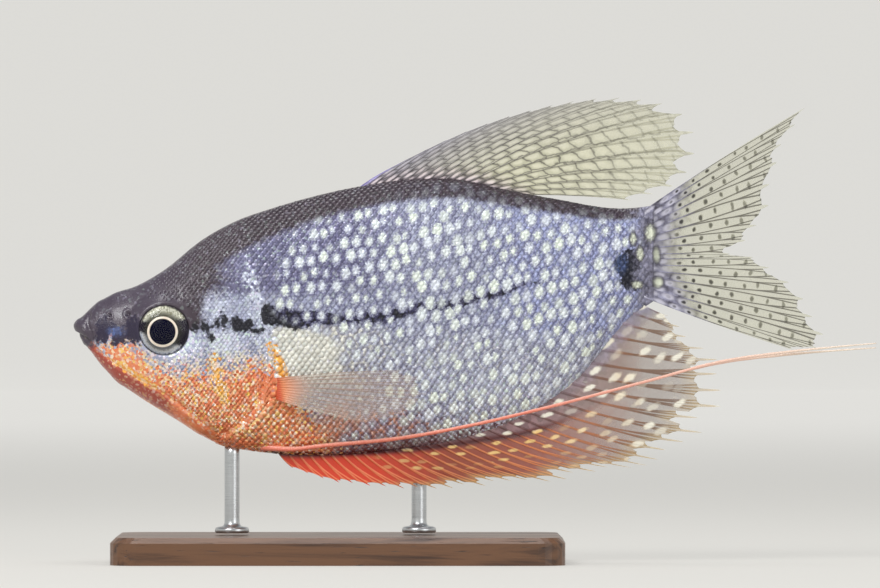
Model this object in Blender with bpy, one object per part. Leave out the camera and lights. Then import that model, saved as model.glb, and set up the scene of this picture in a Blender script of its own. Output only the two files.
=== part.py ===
"""A life-size model of a male pearl gourami, held over a flat base by two short rods.

The fish looks along -X and is nearly level, with its left side towards -Y.
Lengths are metres. Places on the fish are given in percent of its standard length,
as fish are measured: the first number runs back from the tip of the snout and the
second runs up from it.
"""

import math

import bmesh
import bpy
import numpy as np

MM = 0.001
GAP = 0.3 * MM

# The driving sizes
STANDARD_LENGTH = 84 * MM
THREAD_REACH = 139.7
FLOOR_BELOW_SNOUT = 41.2
SNOUT_X = -THREAD_REACH / 200 * STANDARD_LENGTH
SNOUT_Z = FLOOR_BELOW_SNOUT / 100 * STANDARD_LENGTH

# The outline of the body in percent, from the lips back to the root of the tail fin
BACK = [(1.9, 2.0), (4.1, 4.1), (6.6, 5.6), (10.7, 7.0), (15.3, 9.6), (22.3, 15.1), (28.3, 18.4),
        (34.0, 20.4), (49.4, 24.3), (60.0, 25.7), (67.5, 25.5), (74.6, 23.9), (83.5, 22.2), (96.0, 20.5),
        (101.0, 21.0)]
BELLY = [(1.9, -3.6), (4.4, -7.2), (10.0, -11.5), (18.7, -16.9), (24.7, -20.4), (30.7, -21.7),
         (39.1, -22.5), (47.8, -22.4), (56.5, -21.6), (65.2, -20.2), (73.9, -17.7), (80.9, -14.4),
         (87.8, -9.2), (97.4, 1.9), (101.0, 4.4)]
HALF_WIDTH = [(1.9, 2.5), (4.0, 3.4), (9.6, 5.2), (15.3, 6.3), (22.0, 7.3), (30.0, 8.0), (39.0, 8.1),
              (48.0, 7.9), (56.5, 7.5), (65.0, 6.9), (74.0, 6.0), (83.0, 4.9), (91.0, 3.6), (97.0, 2.3),
              (101.0, 1.7)]
KEEL = [(1.9, 0.5), (25.0, 0.5), (45.0, 0.62), (80.0, 0.72), (101.0, 0.6)]
WIDEST_LEVEL = 0.48
SIDE_REACH = 20 * MM
BODY_START, BODY_END = 1.9, 100.9
RINGS, RING_SIDE = 40, 13
RING_CROWDING = 1.35
ROUND_KEEL = 0.5

# Where the body is parted
HEAD_CUT = [(25.2, 20.0), (29.6, 11.0), (31.7, 6.1), (33.4, 0.0), (34.3, -5.2), (34.1, -10.4),
            (32.3, -15.5), (29.2, -24.0)]
STALK_CUT = 91.0
CUT_ABOVE, CUT_BEYOND, STALK_CUT_HALF = 30.0, 40.0, 60.0

# The gill cover's outline on the side of the head
GILL_COVER = [(23.0, 5.0), (23.0, -2.6), (23.6, -8.5), (22.2, -13.5), (25.2, -17.0), (29.4, -15.6),
              (32.2, -11.5), (33.1, -5.2), (32.2, 0.0), (30.4, 5.0), (27.6, 7.6)]
COVER_THICK, COVER_PROUD, COVER_POINTS = 0.9 * MM, 0.25 * MM, 28

# The eye, the nostrils and the mouth
EYE = (15.7, -0.7)
EYE_RADIUS, EYE_DEPTH, EYE_PROUD = 4.1 * MM, 1.7 * MM, 0.9 * MM
EYE_RINGS, EYE_SIDES = 9, 20
NOSTRILS = [((9.3, 2.0), 0.5 * MM), ((6.4, 1.8), 0.34 * MM)]
PIT_RINGS, PIT_SIDES, PIT_PROUD = 6, 10, 0.25
MOUTH_CORNER = (3.7, -2.9)
UPPER_LIP, UPPER_LIP_RADIUS = (1.35, -0.1), 1.15 * MM
LOWER_LIP, LOWER_LIP_RADIUS = (2.2, -2.2), 1.02 * MM
MOUTH_HALF_WIDTH = 1.5 * MM
LIP_RINGS, LIP_SIDES, LIP_CORNER = 13, 10, 0.55
JAW = [(-3.0, -0.2), (0.3, -1.35), (2.8, -2.55), (4.6, -3.7), (8.0, -7.0), (13.0, -10.9),
       (15.2, -19.0), (-3.0, -19.0)]

# The fins: a line that the rays grow from, and the line that their tips reach
WEB_THICK, RAY_THICK, RAY_WIDTH, TIP_THICK = 0.5 * MM, 0.86 * MM, 0.62 * MM, 0.3 * MM
RAY_SHARE, RAY_TAPER = 0.5, 0.35
RAY_SAMPLES, LOOK_AHEAD = 24, 0.02
ROOT_FADE = 6
WEB_STEPS = 6
SUNK = 0.6
DORSAL_BASE = (49.6, 76.5)
DORSAL_TIPS = [(54.3, 27.2), (59.7, 30.0), (69.6, 34.3), (80.9, 37.6), (89.4, 39.3), (98.3, 39.4),
               (104.3, 37.9), (107.3, 35.0), (109.2, 31.5), (108.2, 28.2), (105.4, 25.2), (97.0, 21.9)]
DORSAL_RAYS = 15
DORSAL_BOW = [(0, 0.05), (0.6, 0.09), (0.9, 0.09), (1, 0.035)]
DORSAL_WEB = [(0, 0.97), (0.4, 0.96), (0.6, 0.9), (1, 0.88)]
DORSAL_SWAY, DORSAL_TURN, DORSAL_CURL = 0.7 * MM, 2.6, 1.2
ANAL_BASE = (35.0, 99.0)
ANAL_TIPS = [(38.0, -24.8), (46.4, -27.4), (56.3, -28.3), (65.2, -28.3), (73.9, -27.7), (84.0, -27.0),
             (93.0, -25.2), (102.8, -23.4), (108.3, -19.6), (112.3, -15.0), (113.4, -10.4),
             (112.3, -6.1), (108.7, -2.9), (103.6, 1.7)]
ANAL_RAYS = 30
ANAL_BOW = [(0, -0.10), (1, -0.05)]
ANAL_WEB = [(0, 0.93), (0.4, 0.9), (1, 0.84)]
ANAL_SWAY, ANAL_TURN, ANAL_STEPS = 0.5 * MM, 5.0, 5
TAIL_BASE = [(99.4, 20.0), (99.6, 12.6), (99.4, 5.2)]
TAIL_TIPS = [(126.8, 37.4), (123.5, 31.3), (121.7, 25.9), (120.7, 19.7), (116.3, 14.4), (114.4, 13.0),
             (119.0, 11.9), (125.3, 7.0), (128.6, 1.6), (130.2, -2.0), (125.2, -4.1)]
TAIL_RAYS = 19
TAIL_BOW = [(0, 0.02), (1, -0.02)]
TAIL_WEB = [(0, 0.96), (0.5, 0.92), (1, 0.96)]
TAIL_ROOT, TAIL_SWAY, TAIL_LEAN, TAIL_TURN = 1.9 * MM, 1.4 * MM, 0.4, 3.0
PECTORAL_BASE = [(34.7, -9.3), (35.3, -12.6)]
PECTORAL_TIPS = [(57.4, -7.6), (61.4, -9.4), (62.4, -12.0), (59.1, -14.8), (51.7, -16.9)]
PECTORAL_RAYS = 10
PECTORAL_BOW = [(0, 0.03), (1, -0.04)]
PECTORAL_WEB = [(0, 0.95), (1, 0.95)]
PECTORAL_ROOT, PECTORAL_STAND, PECTORAL_SUNK = 1.3 * MM, 1.9 * MM, 0.9 * MM
PECTORAL_LIFT, PECTORAL_HOLLOW, PECTORAL_TURN = 16, 0.25, 2.8

# The thread of each pelvic fin: along, up, and out from the middle in mm
THREAD = [(32.6, -21.0, 1.3), (36.5, -21.4, 2.6), (44.3, -20.7, 3.8), (56.5, -19.5, 4.6),
          (68.7, -17.3, 4.9), (81.2, -14.4, 4.6), (100.0, -9.5, 3.2), (113.0, -6.1, 2.2),
          (124.3, -4.5, 1.5), (133.0, -3.6, 1.1), (THREAD_REACH, -3.0, 0.9)]
THREAD_RADII = [(0.0, 0.55), (0.06, 0.42), (0.4, 0.32), (0.85, 0.26), (1.0, 0.15)]
THREAD_POINTS, THREAD_SIDES, THREAD_LENGTHS = 36, 7, 3
RIGHT_THREAD_DROP, DROP_FROM = 0.8, 100.0

# The stand
BASE_LENGTH, BASE_WIDTH, BASE_THICK = 66 * MM, 38 * MM, 4 * MM
BASE_CORNER, BASE_EDGE, CORNER_POINTS = 4 * MM, 0.8 * MM, 7
BASE_MIDDLE = 46.0
ROD_RADIUS, ROD_SIDES = 1.1 * MM, 20
FOOT_RADIUS, FOOT_HEIGHT, FOOT_EDGE = 2.5 * MM, 0.9 * MM, 0.3 * MM
FRONT_ROD, REAR_ROD = (27.4, 0.0), (60.0, 2.4 * MM)
SHARP_EDGE = 40


def length(percent):
    return percent / 100 * STANDARD_LENGTH


def place(along, up):
    """World X and Z of a place on the fish given in percent."""
    return SNOUT_X + length(along), SNOUT_Z + length(up)


def smooth(points, at):
    """A cubic curve through points with the slope of its neighbours at each, read at the values in at."""
    points = np.array(points, float)
    x = points[:, 0]
    slopes = np.gradient(points, x, axis=0)
    at = np.clip(np.atleast_1d(at), x[0], x[-1])
    k = np.clip(np.searchsorted(x, at) - 1, 0, len(x) - 2)
    step = x[k + 1] - x[k]
    t = ((at - x[k]) / step)[:, None]
    step = step[:, None]
    return ((2 * t**3 - 3 * t**2 + 1) * points[k] + (t**3 - 2 * t**2 + t) * step * slopes[k]
            + (3 * t**2 - 2 * t**3) * points[k + 1] + (t**3 - t**2) * step * slopes[k + 1])


def read(points, at):
    """The height of the cubic curve through points, at one distance."""
    return float(smooth(points, at)[0, 1])


def along_line(points, count):
    """count points evenly spaced along the smooth curve through points."""
    points = np.array(points, float)
    knots = np.concatenate([[0], np.cumsum(np.linalg.norm(np.diff(points, axis=0), axis=1))])
    fine = smooth(np.column_stack([knots, points]), np.linspace(0, knots[-1], 60 * len(points)))[:, 1:]
    run = np.concatenate([[0], np.cumsum(np.linalg.norm(np.diff(fine, axis=0), axis=1))])
    at = np.linspace(0, run[-1], count)
    return np.column_stack([np.interp(at, run, fine[:, i]) for i in range(points.shape[1])])


def section(along, inflate=0.0):
    """Top, bottom, level of the widest place, half width and keel exponent of the body there, in metres."""
    top = SNOUT_Z + length(read(BACK, along)) + inflate
    bottom = SNOUT_Z + length(read(BELLY, along)) - inflate
    widest = bottom + WIDEST_LEVEL * (top - bottom)
    return top, bottom, widest, length(read(HALF_WIDTH, along)) + inflate, read(KEEL, along)


def flank(along, up):
    """How far the side of the body stands from the middle at a place given in percent."""
    top, bottom, widest, half, keel = section(along)
    z = place(along, up)[1]
    reach = (z - widest) / ((top - widest) if z > widest else (widest - bottom))
    return half * max(0.0, 1 - reach**2) ** (ROUND_KEEL if z > widest else keel)


def make_object(name, vertices, faces, material=None):
    mesh = bpy.data.meshes.new(name)
    mesh.from_pydata([tuple(v) for v in vertices], [], faces)
    shape = bmesh.new()
    shape.from_mesh(mesh)
    bmesh.ops.recalc_face_normals(shape, faces=shape.faces)
    bmesh.ops.triangulate(shape, faces=[f for f in shape.faces if len(f.verts) > 4])
    shape.to_mesh(mesh)
    shape.free()
    obj = bpy.data.objects.new(name, mesh)
    bpy.context.scene.collection.objects.link(obj)
    if material:
        mesh.materials.append(material)
    return obj


def combine(target, operation, others):
    """Joins or cuts target with the closed meshes in others, and keeps only the largest piece left."""
    operands = bpy.data.collections.new("operands")
    bpy.context.scene.collection.children.link(operands)
    for other in others:
        bpy.context.scene.collection.objects.unlink(other)
        operands.objects.link(other)
    step = target.modifiers.new("combine", "BOOLEAN")
    step.operation = operation
    step.operand_type = "COLLECTION"
    step.collection = operands
    step.solver = "EXACT"
    graph = bpy.context.evaluated_depsgraph_get()
    mesh = bpy.data.meshes.new_from_object(target.evaluated_get(graph), depsgraph=graph)
    target.modifiers.clear()
    target.data = mesh
    for other in others:
        bpy.data.objects.remove(other)
    bpy.data.collections.remove(operands)
    keep_largest(target)
    return target


def volume_of(faces):
    """Six times the volume inside faces, which are a closed surface."""
    total = 0.0
    for face in faces:
        first, *rest = [v.co for v in face.verts]
        total += sum(first.dot(a.cross(b)) for a, b in zip(rest, rest[1:]))
    return total


def keep_largest(obj):
    """Leaves obj only its closed surface with the largest volume."""
    shape = bmesh.new()
    shape.from_mesh(obj.data)
    shape.faces.ensure_lookup_table()
    left, groups = set(shape.faces), []
    while left:
        group, edge = set(), [left.pop()]
        while edge:
            face = edge.pop()
            group.add(face)
            near = {f for e in face.edges for f in e.link_faces} & left
            left -= near
            edge.extend(near)
        groups.append(group)
    kept = max(groups, key=lambda group: abs(volume_of(group)))
    bmesh.ops.delete(shape, geom=[f for f in shape.faces if f not in kept], context="FACES")
    bmesh.ops.triangulate(shape, faces=shape.faces)
    shape.to_mesh(obj.data)
    shape.free()


def body(name, inflate=0.0):
    """The body as one closed loft, its rings closest together at the snout."""
    shares = np.linspace(0, 1, RINGS) ** RING_CROWDING
    vertices, faces = [], []
    angles = np.linspace(-math.pi / 2, math.pi / 2, RING_SIDE + 1)
    for share in shares:
        along = BODY_START + (BODY_END - BODY_START) * share
        top, bottom, widest, half, keel = section(along, inflate)
        side = []
        for angle in angles:
            high = (top - widest) if angle > 0 else (widest - bottom)
            out = half * math.cos(angle) ** (2 * (ROUND_KEEL if angle > 0 else keel))
            side.append((out, widest + high * math.sin(angle)))
        x = place(along, 0)[0]
        x += inflate * (1 if share == 1 else -1 if share == 0 else 0)
        vertices += [(x, out, z) for out, z in side]
        vertices += [(x, -out, z) for out, z in side[-2:0:-1]]
    around = 2 * RING_SIDE
    for ring in range(RINGS - 1):
        for i in range(around):
            a, b = ring * around + i, ring * around + (i + 1) % around
            faces.append((a, b, b + around, a + around))
    faces.append(tuple(range(around)))
    faces.append(tuple(range((RINGS - 1) * around, RINGS * around)))
    return make_object(name, vertices, faces)


def prism(name, outline, near, far):
    """The outline, a list of world X and Z, as a solid from near to far along Y."""
    count = len(outline)
    vertices = [(x, y, z) for y in (near, far) for x, z in outline]
    faces = [tuple(range(count)), tuple(range(count, 2 * count))]
    faces += [(i, (i + 1) % count, count + (i + 1) % count, count + i) for i in range(count)]
    return make_object(name, vertices, faces)


def zone(name, line, behind):
    """All that lies in front of, or behind, the line in side view, as a cutter."""
    far = place(BODY_END + CUT_BEYOND if behind else -CUT_BEYOND, 0)[0]
    x_z = [place(*p) for p in line]
    ends = [(far, x_z[-1][1]), (far, x_z[0][1])]
    return prism(name, x_z + ends, -SIDE_REACH, SIDE_REACH)


def stretched(line, shift):
    """The cutting line carried on above and below the fish, and moved along by shift percent."""
    moved = [(a + shift, u) for a, u in line]
    above = (moved[0][0], moved[0][1] + CUT_ABOVE)
    below = (moved[-1][0], moved[-1][1] - CUT_ABOVE)
    return [above] + moved + [below]


def stalk_line(shift):
    """The upright line that parts the trunk from the tail stalk, moved along by shift percent."""
    return [(STALK_CUT + shift, STALK_CUT_HALF), (STALK_CUT + shift, -STALK_CUT_HALF)]


def ellipsoid(name, centre, radii, rings, sides):
    """An ellipsoid with its poles along Y."""
    vertices = [(centre[0], centre[1] - radii[1], centre[2])]
    for i in range(1, rings):
        tilt = math.pi * i / rings
        for j in range(sides):
            turn = 2 * math.pi * j / sides
            vertices.append((centre[0] + radii[0] * math.sin(tilt) * math.cos(turn),
                             centre[1] - radii[1] * math.cos(tilt),
                             centre[2] + radii[2] * math.sin(tilt) * math.sin(turn)))
    vertices.append((centre[0], centre[1] + radii[1], centre[2]))
    last = len(vertices) - 1
    faces = [(0, 1 + j, 1 + (j + 1) % sides) for j in range(sides)]
    for i in range(rings - 2):
        row = 1 + i * sides
        faces += [(row + j, row + (j + 1) % sides, row + sides + (j + 1) % sides, row + sides + j)
                  for j in range(sides)]
    faces += [(last, last - sides + (j + 1) % sides, last - sides + j) for j in range(sides)]
    return make_object(name, vertices, faces)


def tube(name, path, radii, sides):
    """A closed round tube along the points of path."""
    path = np.array(path, float)
    tangents = np.gradient(path, axis=0)
    vertices, faces = [], []
    for point, tangent, radius in zip(path, tangents, radii):
        tangent = tangent / np.linalg.norm(tangent)
        across = np.cross(tangent, (0.0, 0.0, 1.0))
        across /= np.linalg.norm(across)
        upward = np.cross(across, tangent)
        vertices += [point + radius * (math.cos(turn) * across + math.sin(turn) * upward)
                     for turn in np.linspace(0, 2 * math.pi, sides, endpoint=False)]
    for ring in range(len(path) - 1):
        for i in range(sides):
            a, b = ring * sides + i, ring * sides + (i + 1) % sides
            faces.append((a, b, b + sides, a + sides))
    faces.append(tuple(range(sides)))
    faces.append(tuple(range((len(path) - 1) * sides, len(path) * sides)))
    return make_object(name, vertices, faces)


def lip(name, tip, radius):
    """A rounded lip that runs from one corner of the mouth round the snout to the other."""
    path, radii = [], []
    for angle in np.linspace(-math.pi / 2, math.pi / 2, LIP_RINGS):
        forward = math.cos(angle)
        along = MOUTH_CORNER[0] + (tip[0] - MOUTH_CORNER[0]) * forward
        up = MOUTH_CORNER[1] + (tip[1] - MOUTH_CORNER[1]) * forward
        x, z = place(along, up)
        path.append((x, MOUTH_HALF_WIDTH * math.sin(angle), z))
        radii.append(radius * (LIP_CORNER + (1 - LIP_CORNER) * forward))
    return tube(name, path, radii, LIP_SIDES)


def eye_centre(side):
    x, z = place(*EYE)
    return (x, side * (flank(*EYE) + EYE_PROUD - EYE_DEPTH), z)


def eyeball(name, side, grow):
    radius, depth = EYE_RADIUS + grow, EYE_DEPTH + grow
    return ellipsoid(name, eye_centre(side), (radius, depth, radius), EYE_RINGS, EYE_SIDES)


def nostril_pits():
    pits = []
    for (along, up), radius in NOSTRILS:
        x, z = place(along, up)
        for side in (-1, 1):
            centre = (x, side * (flank(along, up) + radius * PIT_PROUD), z)
            pits.append(ellipsoid("pit", centre, (radius, radius, radius), PIT_RINGS, PIT_SIDES))
    return pits


def grown(outline, grow):
    """A closed outline given in percent, as world X and Z, grown outwards by that much."""
    points = np.array([place(*p) for p in outline])
    ahead = np.roll(points, -1, axis=0) - np.roll(points, 1, axis=0)
    outward = np.column_stack([ahead[:, 1], -ahead[:, 0]])
    outward /= np.linalg.norm(outward, axis=1)[:, None]
    onward = np.roll(points, -1, axis=0)
    turn = np.sum(points[:, 0] * onward[:, 1] - onward[:, 0] * points[:, 1])
    return [tuple(p) for p in points + outward * grow * np.sign(turn)]


def cover_outline(grow):
    return grown(along_line(GILL_COVER + GILL_COVER[:1], COVER_POINTS + 1)[:-1], grow)


def gill_cover(name, side, material):
    """A curved plate that lies in the head's side and stands a little proud of it."""
    plate = body(name, inflate=COVER_PROUD)
    edge = prism("edge", cover_outline(-GAP / 2), 0.0, side * SIDE_REACH)
    plate = combine(plate, "INTERSECT", [edge])
    core = body("core", inflate=COVER_PROUD - COVER_THICK)
    plate = combine(plate, "DIFFERENCE", [core])
    plate.data.materials.append(material)
    return plate


def cover_bed(side):
    """The hollow in the head that a gill cover lies in."""
    bed = prism("bed", cover_outline(GAP / 2), 0.0, side * SIDE_REACH)
    core = body("core", inflate=COVER_PROUD - COVER_THICK - GAP)
    return combine(bed, "DIFFERENCE", [core])


def snout(name):
    """The whole body with its two lips."""
    upper = lip("upper_lip", UPPER_LIP, UPPER_LIP_RADIUS)
    lower = lip("lower_lip", LOWER_LIP, LOWER_LIP_RADIUS)
    return combine(body(name), "UNION", [upper, lower])


def head(material):
    shape = combine(snout("head"), "DIFFERENCE", [zone("back_cut", stretched(HEAD_CUT, 0), True)])
    mouth = prism("jaw_cut", grown(JAW, GAP / 2), -SIDE_REACH, SIDE_REACH)
    shape = combine(shape, "DIFFERENCE", [mouth])
    sockets = [eyeball("socket", side, GAP) for side in (-1, 1)]
    shape = combine(shape, "DIFFERENCE", sockets + nostril_pits())
    for side in (-1, 1):
        shape = combine(shape, "DIFFERENCE", [cover_bed(side)])
    shape.data.materials.append(material)
    return shape


def lower_jaw(material):
    jaw = prism("jaw", grown(JAW, -GAP / 2), -SIDE_REACH, SIDE_REACH)
    shape = combine(snout("lower_jaw"), "INTERSECT", [jaw])
    shape.data.materials.append(material)
    return shape


def trunk(material):
    shape = body("trunk")
    shift = 100 * GAP / STANDARD_LENGTH
    shape = combine(shape, "DIFFERENCE", [zone("front_cut", stretched(HEAD_CUT, shift), False)])
    shape = combine(shape, "DIFFERENCE", [zone("back_cut", stalk_line(0), True)])
    shape.data.materials.append(material)
    return shape


def tail_stalk(material):
    shape = body("tail_stalk")
    shift = 100 * GAP / STANDARD_LENGTH
    shape = combine(shape, "DIFFERENCE", [zone("front_cut", stalk_line(shift), False)])
    shape.data.materials.append(material)
    return shape


def ray_line(root, tip, bow, steps):
    """Points from root to tip on a curve that bows to the left of that way by a share of its length."""
    root, tip = np.array(root, float), np.array(tip, float)
    run = tip - root
    middle = (root + tip) / 2 + bow * np.array([-run[1], run[0]])
    t = np.linspace(0, 1, steps + 1)[:, None]
    return (1 - t) ** 2 * root + 2 * t * (1 - t) * middle + t**2 * tip


def fin(name, roots, tips, bows, webs, sway, material, steps=WEB_STEPS, root_thick=RAY_THICK):
    """A fin as one sheet: rays with flat tops standing on a thinner web, their ends free of it.

    roots, tips, bows and webs have one entry for each ray, and webs is the share of a ray that the web
    reaches. sway gives the sheet's Y at a share of the way across and a share of the way out.
    """
    count = len(roots)
    points, halves, index = [], [], {}

    def add(key, xz, out, across, thick):
        index[key] = len(points)
        x, z = place(*xz)
        points.append((x, sway(across, out), z))
        halves.append(thick / 2)

    lines = [ray_line(r, t, b, RAY_SAMPLES) for r, t, b in zip(roots, tips, bows)]
    ahead, onward = np.subtract(tips[0], roots[0]), np.subtract(roots[-1], roots[0])
    turn = 1 if ahead[0] * onward[1] - ahead[1] * onward[0] < 0 else -1

    def at(line, share):
        samples = range(RAY_SAMPLES + 1)
        return np.array([np.interp(share * RAY_SAMPLES, samples, line[:, i]) for i in (0, 1)])

    def thickness(ray, share):
        """The thickness of a ray or, with ray 0, of the web, which both flare at the root."""
        flare = (root_thick - RAY_THICK) * (1 - share) ** ROOT_FADE
        return WEB_THICK + ray * (RAY_THICK - WEB_THICK) * (1 - share) + flare

    for i, line in enumerate(lines):
        across = i / (count - 1)
        for j, share in enumerate([*np.linspace(0, webs[i], steps), 1.0]):
            centre = at(line, share)
            ahead = at(line, min(1.0, share + LOOK_AHEAD)) - at(line, max(0.0, share - LOOK_AHEAD))
            ahead /= np.linalg.norm(ahead)
            normal = turn * np.array([-ahead[1], ahead[0]])
            thick = thickness(1, share)
            if share == 1.0:
                add((i, "tip"), centre, share, across, TIP_THICK)
                continue
            near = [lines[k] for k in (i - 1, i + 1) if 0 <= k < count]
            beside = [abs((at(other, share) - centre) @ normal) for other in near]
            widest = RAY_WIDTH / STANDARD_LENGTH * 100 / 2 * (1 - RAY_TAPER * share)
            half = min(widest, RAY_SHARE / 2 * min(beside))
            add((i, "l", j), centre + normal * half, share, across, thick)
            add((i, "r", j), centre - normal * half, share, across, thick)
        if i + 1 < count:
            for j in range(steps):
                share, beyond = webs[i] * j / (steps - 1), webs[i + 1] * j / (steps - 1)
                middle = (at(line, share) + at(lines[i + 1], beyond)) / 2
                add((i, "m", j), middle, share, (i + 0.5) / (count - 1), thickness(0, share))

    sheet = []

    def strip(a, b):
        for j in range(steps - 1):
            p, q = index[(*a, j)], index[(*b, j)]
            r, s = index[(*b, j + 1)], index[(*a, j + 1)]
            sheet.extend([(p, q, r), (p, r, s)])

    for i in range(count):
        strip((i, "l"), (i, "r"))
        left, right = index[(i, "l", steps - 1)], index[(i, "r", steps - 1)]
        sheet.append((left, right, index[(i, "tip")]))
        if i + 1 < count:
            strip((i, "r"), (i, "m"))
            strip((i, "m"), (i + 1, "l"))
    obj = combine(thicken(name, points, halves, sheet), "DIFFERENCE", [body("cut", GAP)])
    obj.data.materials.append(material)
    return obj


def thicken(name, points, halves, sheet):
    """A solid from one sheet of triangles, with its own half thickness at each point."""
    total = len(points)
    vertices = [(x, y - h, z) for (x, y, z), h in zip(points, halves)]
    vertices += [(x, y + h, z) for (x, y, z), h in zip(points, halves)]
    faces = [tuple(t) for t in sheet] + [tuple(total + i for i in reversed(t)) for t in sheet]
    once = {}
    for a, b, c in sheet:
        for edge in ((a, b), (b, c), (c, a)):
            once[edge] = True
    for a, b in list(once):
        if (b, a) not in once:
            faces += [(b, a, total + a), (b, total + a, total + b)]
    return make_object(name, vertices, faces)


def profile_roots(outline, ends, count, sunk):
    """count places along the back or the belly between two distances, sunk into the body."""
    return [(along, read(outline, along) + sunk) for along in np.linspace(*ends, count)]


def spread(pairs, count):
    """count values, evenly spaced, from pairs of share and value."""
    return np.interp(np.linspace(0, 1, count), *zip(*pairs))


def dorsal_fin(material):
    roots = profile_roots(BACK, DORSAL_BASE, DORSAL_RAYS, -SUNK)
    tips = along_line(DORSAL_TIPS, DORSAL_RAYS)

    def sway(across, out):
        return DORSAL_SWAY * out * math.sin(DORSAL_TURN * across + DORSAL_CURL * out)

    bows, webs = spread(DORSAL_BOW, DORSAL_RAYS), spread(DORSAL_WEB, DORSAL_RAYS)
    return fin("dorsal_fin", roots, tips, bows, webs, sway, material)


def anal_fin(material):
    roots = profile_roots(BELLY, ANAL_BASE, ANAL_RAYS, SUNK)
    tips = along_line(ANAL_TIPS, ANAL_RAYS)

    def sway(across, out):
        return ANAL_SWAY * out * math.sin(ANAL_TURN * across)

    bows, webs = spread(ANAL_BOW, ANAL_RAYS), spread(ANAL_WEB, ANAL_RAYS)
    return fin("anal_fin", roots, tips, bows, webs, sway, material, steps=ANAL_STEPS)


def tail_fin(material):
    roots = along_line(TAIL_BASE, TAIL_RAYS)
    tips = along_line(TAIL_TIPS, TAIL_RAYS)

    def sway(across, out):
        return TAIL_SWAY * out**2 * (TAIL_LEAN + math.cos(TAIL_TURN * across))

    bows, webs = spread(TAIL_BOW, TAIL_RAYS), spread(TAIL_WEB, TAIL_RAYS)
    return fin("tail_fin", roots, tips, bows, webs, sway, material, root_thick=TAIL_ROOT)


def pectoral_fin(name, side, material):
    roots = along_line(PECTORAL_BASE, PECTORAL_RAYS)
    tips = along_line(PECTORAL_TIPS, PECTORAL_RAYS)
    base = flank(*np.mean(PECTORAL_BASE, axis=0)) - PECTORAL_SUNK

    def sway(across, out):
        """The fin leaves the side in a short curve, then stands off it more and more."""
        rise = 1 - math.exp(-PECTORAL_LIFT * out)
        hollow = PECTORAL_HOLLOW * out * math.cos(PECTORAL_TURN * across)
        return side * (base + PECTORAL_STAND * (rise + out - hollow))

    bows, webs = spread(PECTORAL_BOW, PECTORAL_RAYS), spread(PECTORAL_WEB, PECTORAL_RAYS)
    return fin(name, roots, tips, bows, webs, sway, material, root_thick=PECTORAL_ROOT)


def thread_pieces(side, drop, material, cutter):
    """One pelvic thread, parted into lengths with a thin gap between each two."""
    points = []
    for along, up, out in THREAD:
        share = max(0.0, (along - DROP_FROM) / (THREAD_REACH - DROP_FROM))
        x, z = place(along, up - drop * share)
        points.append((x, side * out * MM, z))
    path = along_line(points, THREAD_POINTS)
    shares = np.linspace(0, 1, THREAD_POINTS)
    radii = np.interp(shares, [s for s, _ in THREAD_RADII], [r * MM for _, r in THREAD_RADII])
    word = "left" if side < 0 else "right"
    per = (THREAD_POINTS - 1) / THREAD_LENGTHS
    made = []
    for k in range(THREAD_LENGTHS):
        first, last = round(k * per), round((k + 1) * per)
        piece, size = path[first:last + 1].copy(), radii[first:last + 1]
        if k:
            step = piece[1] - piece[0]
            piece[0] += step / np.linalg.norm(step) * GAP
        obj = tube(f"pelvic_thread_{word}_{k + 1}", piece, size, THREAD_SIDES)
        if k == 0:
            obj = combine(obj, "DIFFERENCE", [cutter])
        obj.data.materials.append(material)
        made.append(obj)
    return made


def base_plate(material):
    """A flat plate with round corners and a bevelled upper edge."""
    centre = place(BASE_MIDDLE, 0)[0]
    outline = []
    for sx, sy, start in ((1, 1, 0), (-1, 1, 90), (-1, -1, 180), (1, -1, 270)):
        for turn in np.radians(start + np.linspace(0, 90, CORNER_POINTS)):
            outline.append((sx * (BASE_LENGTH / 2 - BASE_CORNER) + BASE_CORNER * math.cos(turn),
                            sy * (BASE_WIDTH / 2 - BASE_CORNER) + BASE_CORNER * math.sin(turn)))
    levels = [(0.0, 0.0), (BASE_THICK - BASE_EDGE, 0.0), (BASE_THICK, BASE_EDGE)]
    vertices, faces, count = [], [], len(outline)
    for z, inset in levels:
        vertices += [(centre + x * (1 - 2 * inset / BASE_LENGTH), y * (1 - 2 * inset / BASE_WIDTH), z)
                     for x, y in outline]
    for ring in range(len(levels) - 1):
        for i in range(count):
            a, b = ring * count + i, ring * count + (i + 1) % count
            faces.append((a, b, b + count, a + count))
    faces.append(tuple(range(count)))
    faces.append(tuple(range(2 * count, 3 * count)))
    return make_object("stand_base", vertices, faces, material)


def rod(name, along, y, material):
    """An upright rod with a turned foot, its top cut to the shape of the body over it."""
    x = place(along, 0)[0]
    low = BASE_THICK + GAP
    step = low + FOOT_HEIGHT
    profile = [(FOOT_RADIUS, low), (FOOT_RADIUS, step - FOOT_EDGE), (FOOT_RADIUS - FOOT_EDGE, step),
               (ROD_RADIUS, step), (ROD_RADIUS, section(along)[2])]
    turns = np.linspace(0, 2 * math.pi, ROD_SIDES, endpoint=False)
    vertices = [(x + r * math.cos(a), y + r * math.sin(a), z) for r, z in profile for a in turns]
    faces = [tuple(range(ROD_SIDES)), tuple(range(len(vertices) - ROD_SIDES, len(vertices)))]
    for ring in range(len(profile) - 1):
        for i in range(ROD_SIDES):
            a, b = ring * ROD_SIDES + i, ring * ROD_SIDES + (i + 1) % ROD_SIDES
            faces.append((a, b, b + ROD_SIDES, a + ROD_SIDES))
    obj = combine(make_object(name, vertices, faces), "DIFFERENCE", [body("cut", GAP)])
    obj.data.materials.append(material)
    return obj


def material(name, colour, roughness, metallic=0.0):
    made = bpy.data.materials.new(name)
    made.use_nodes = True
    shader = made.node_tree.nodes["Principled BSDF"]
    shader.inputs["Base Color"].default_value = (*colour, 1.0)
    shader.inputs["Roughness"].default_value = roughness
    shader.inputs["Metallic"].default_value = metallic
    return made


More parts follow.
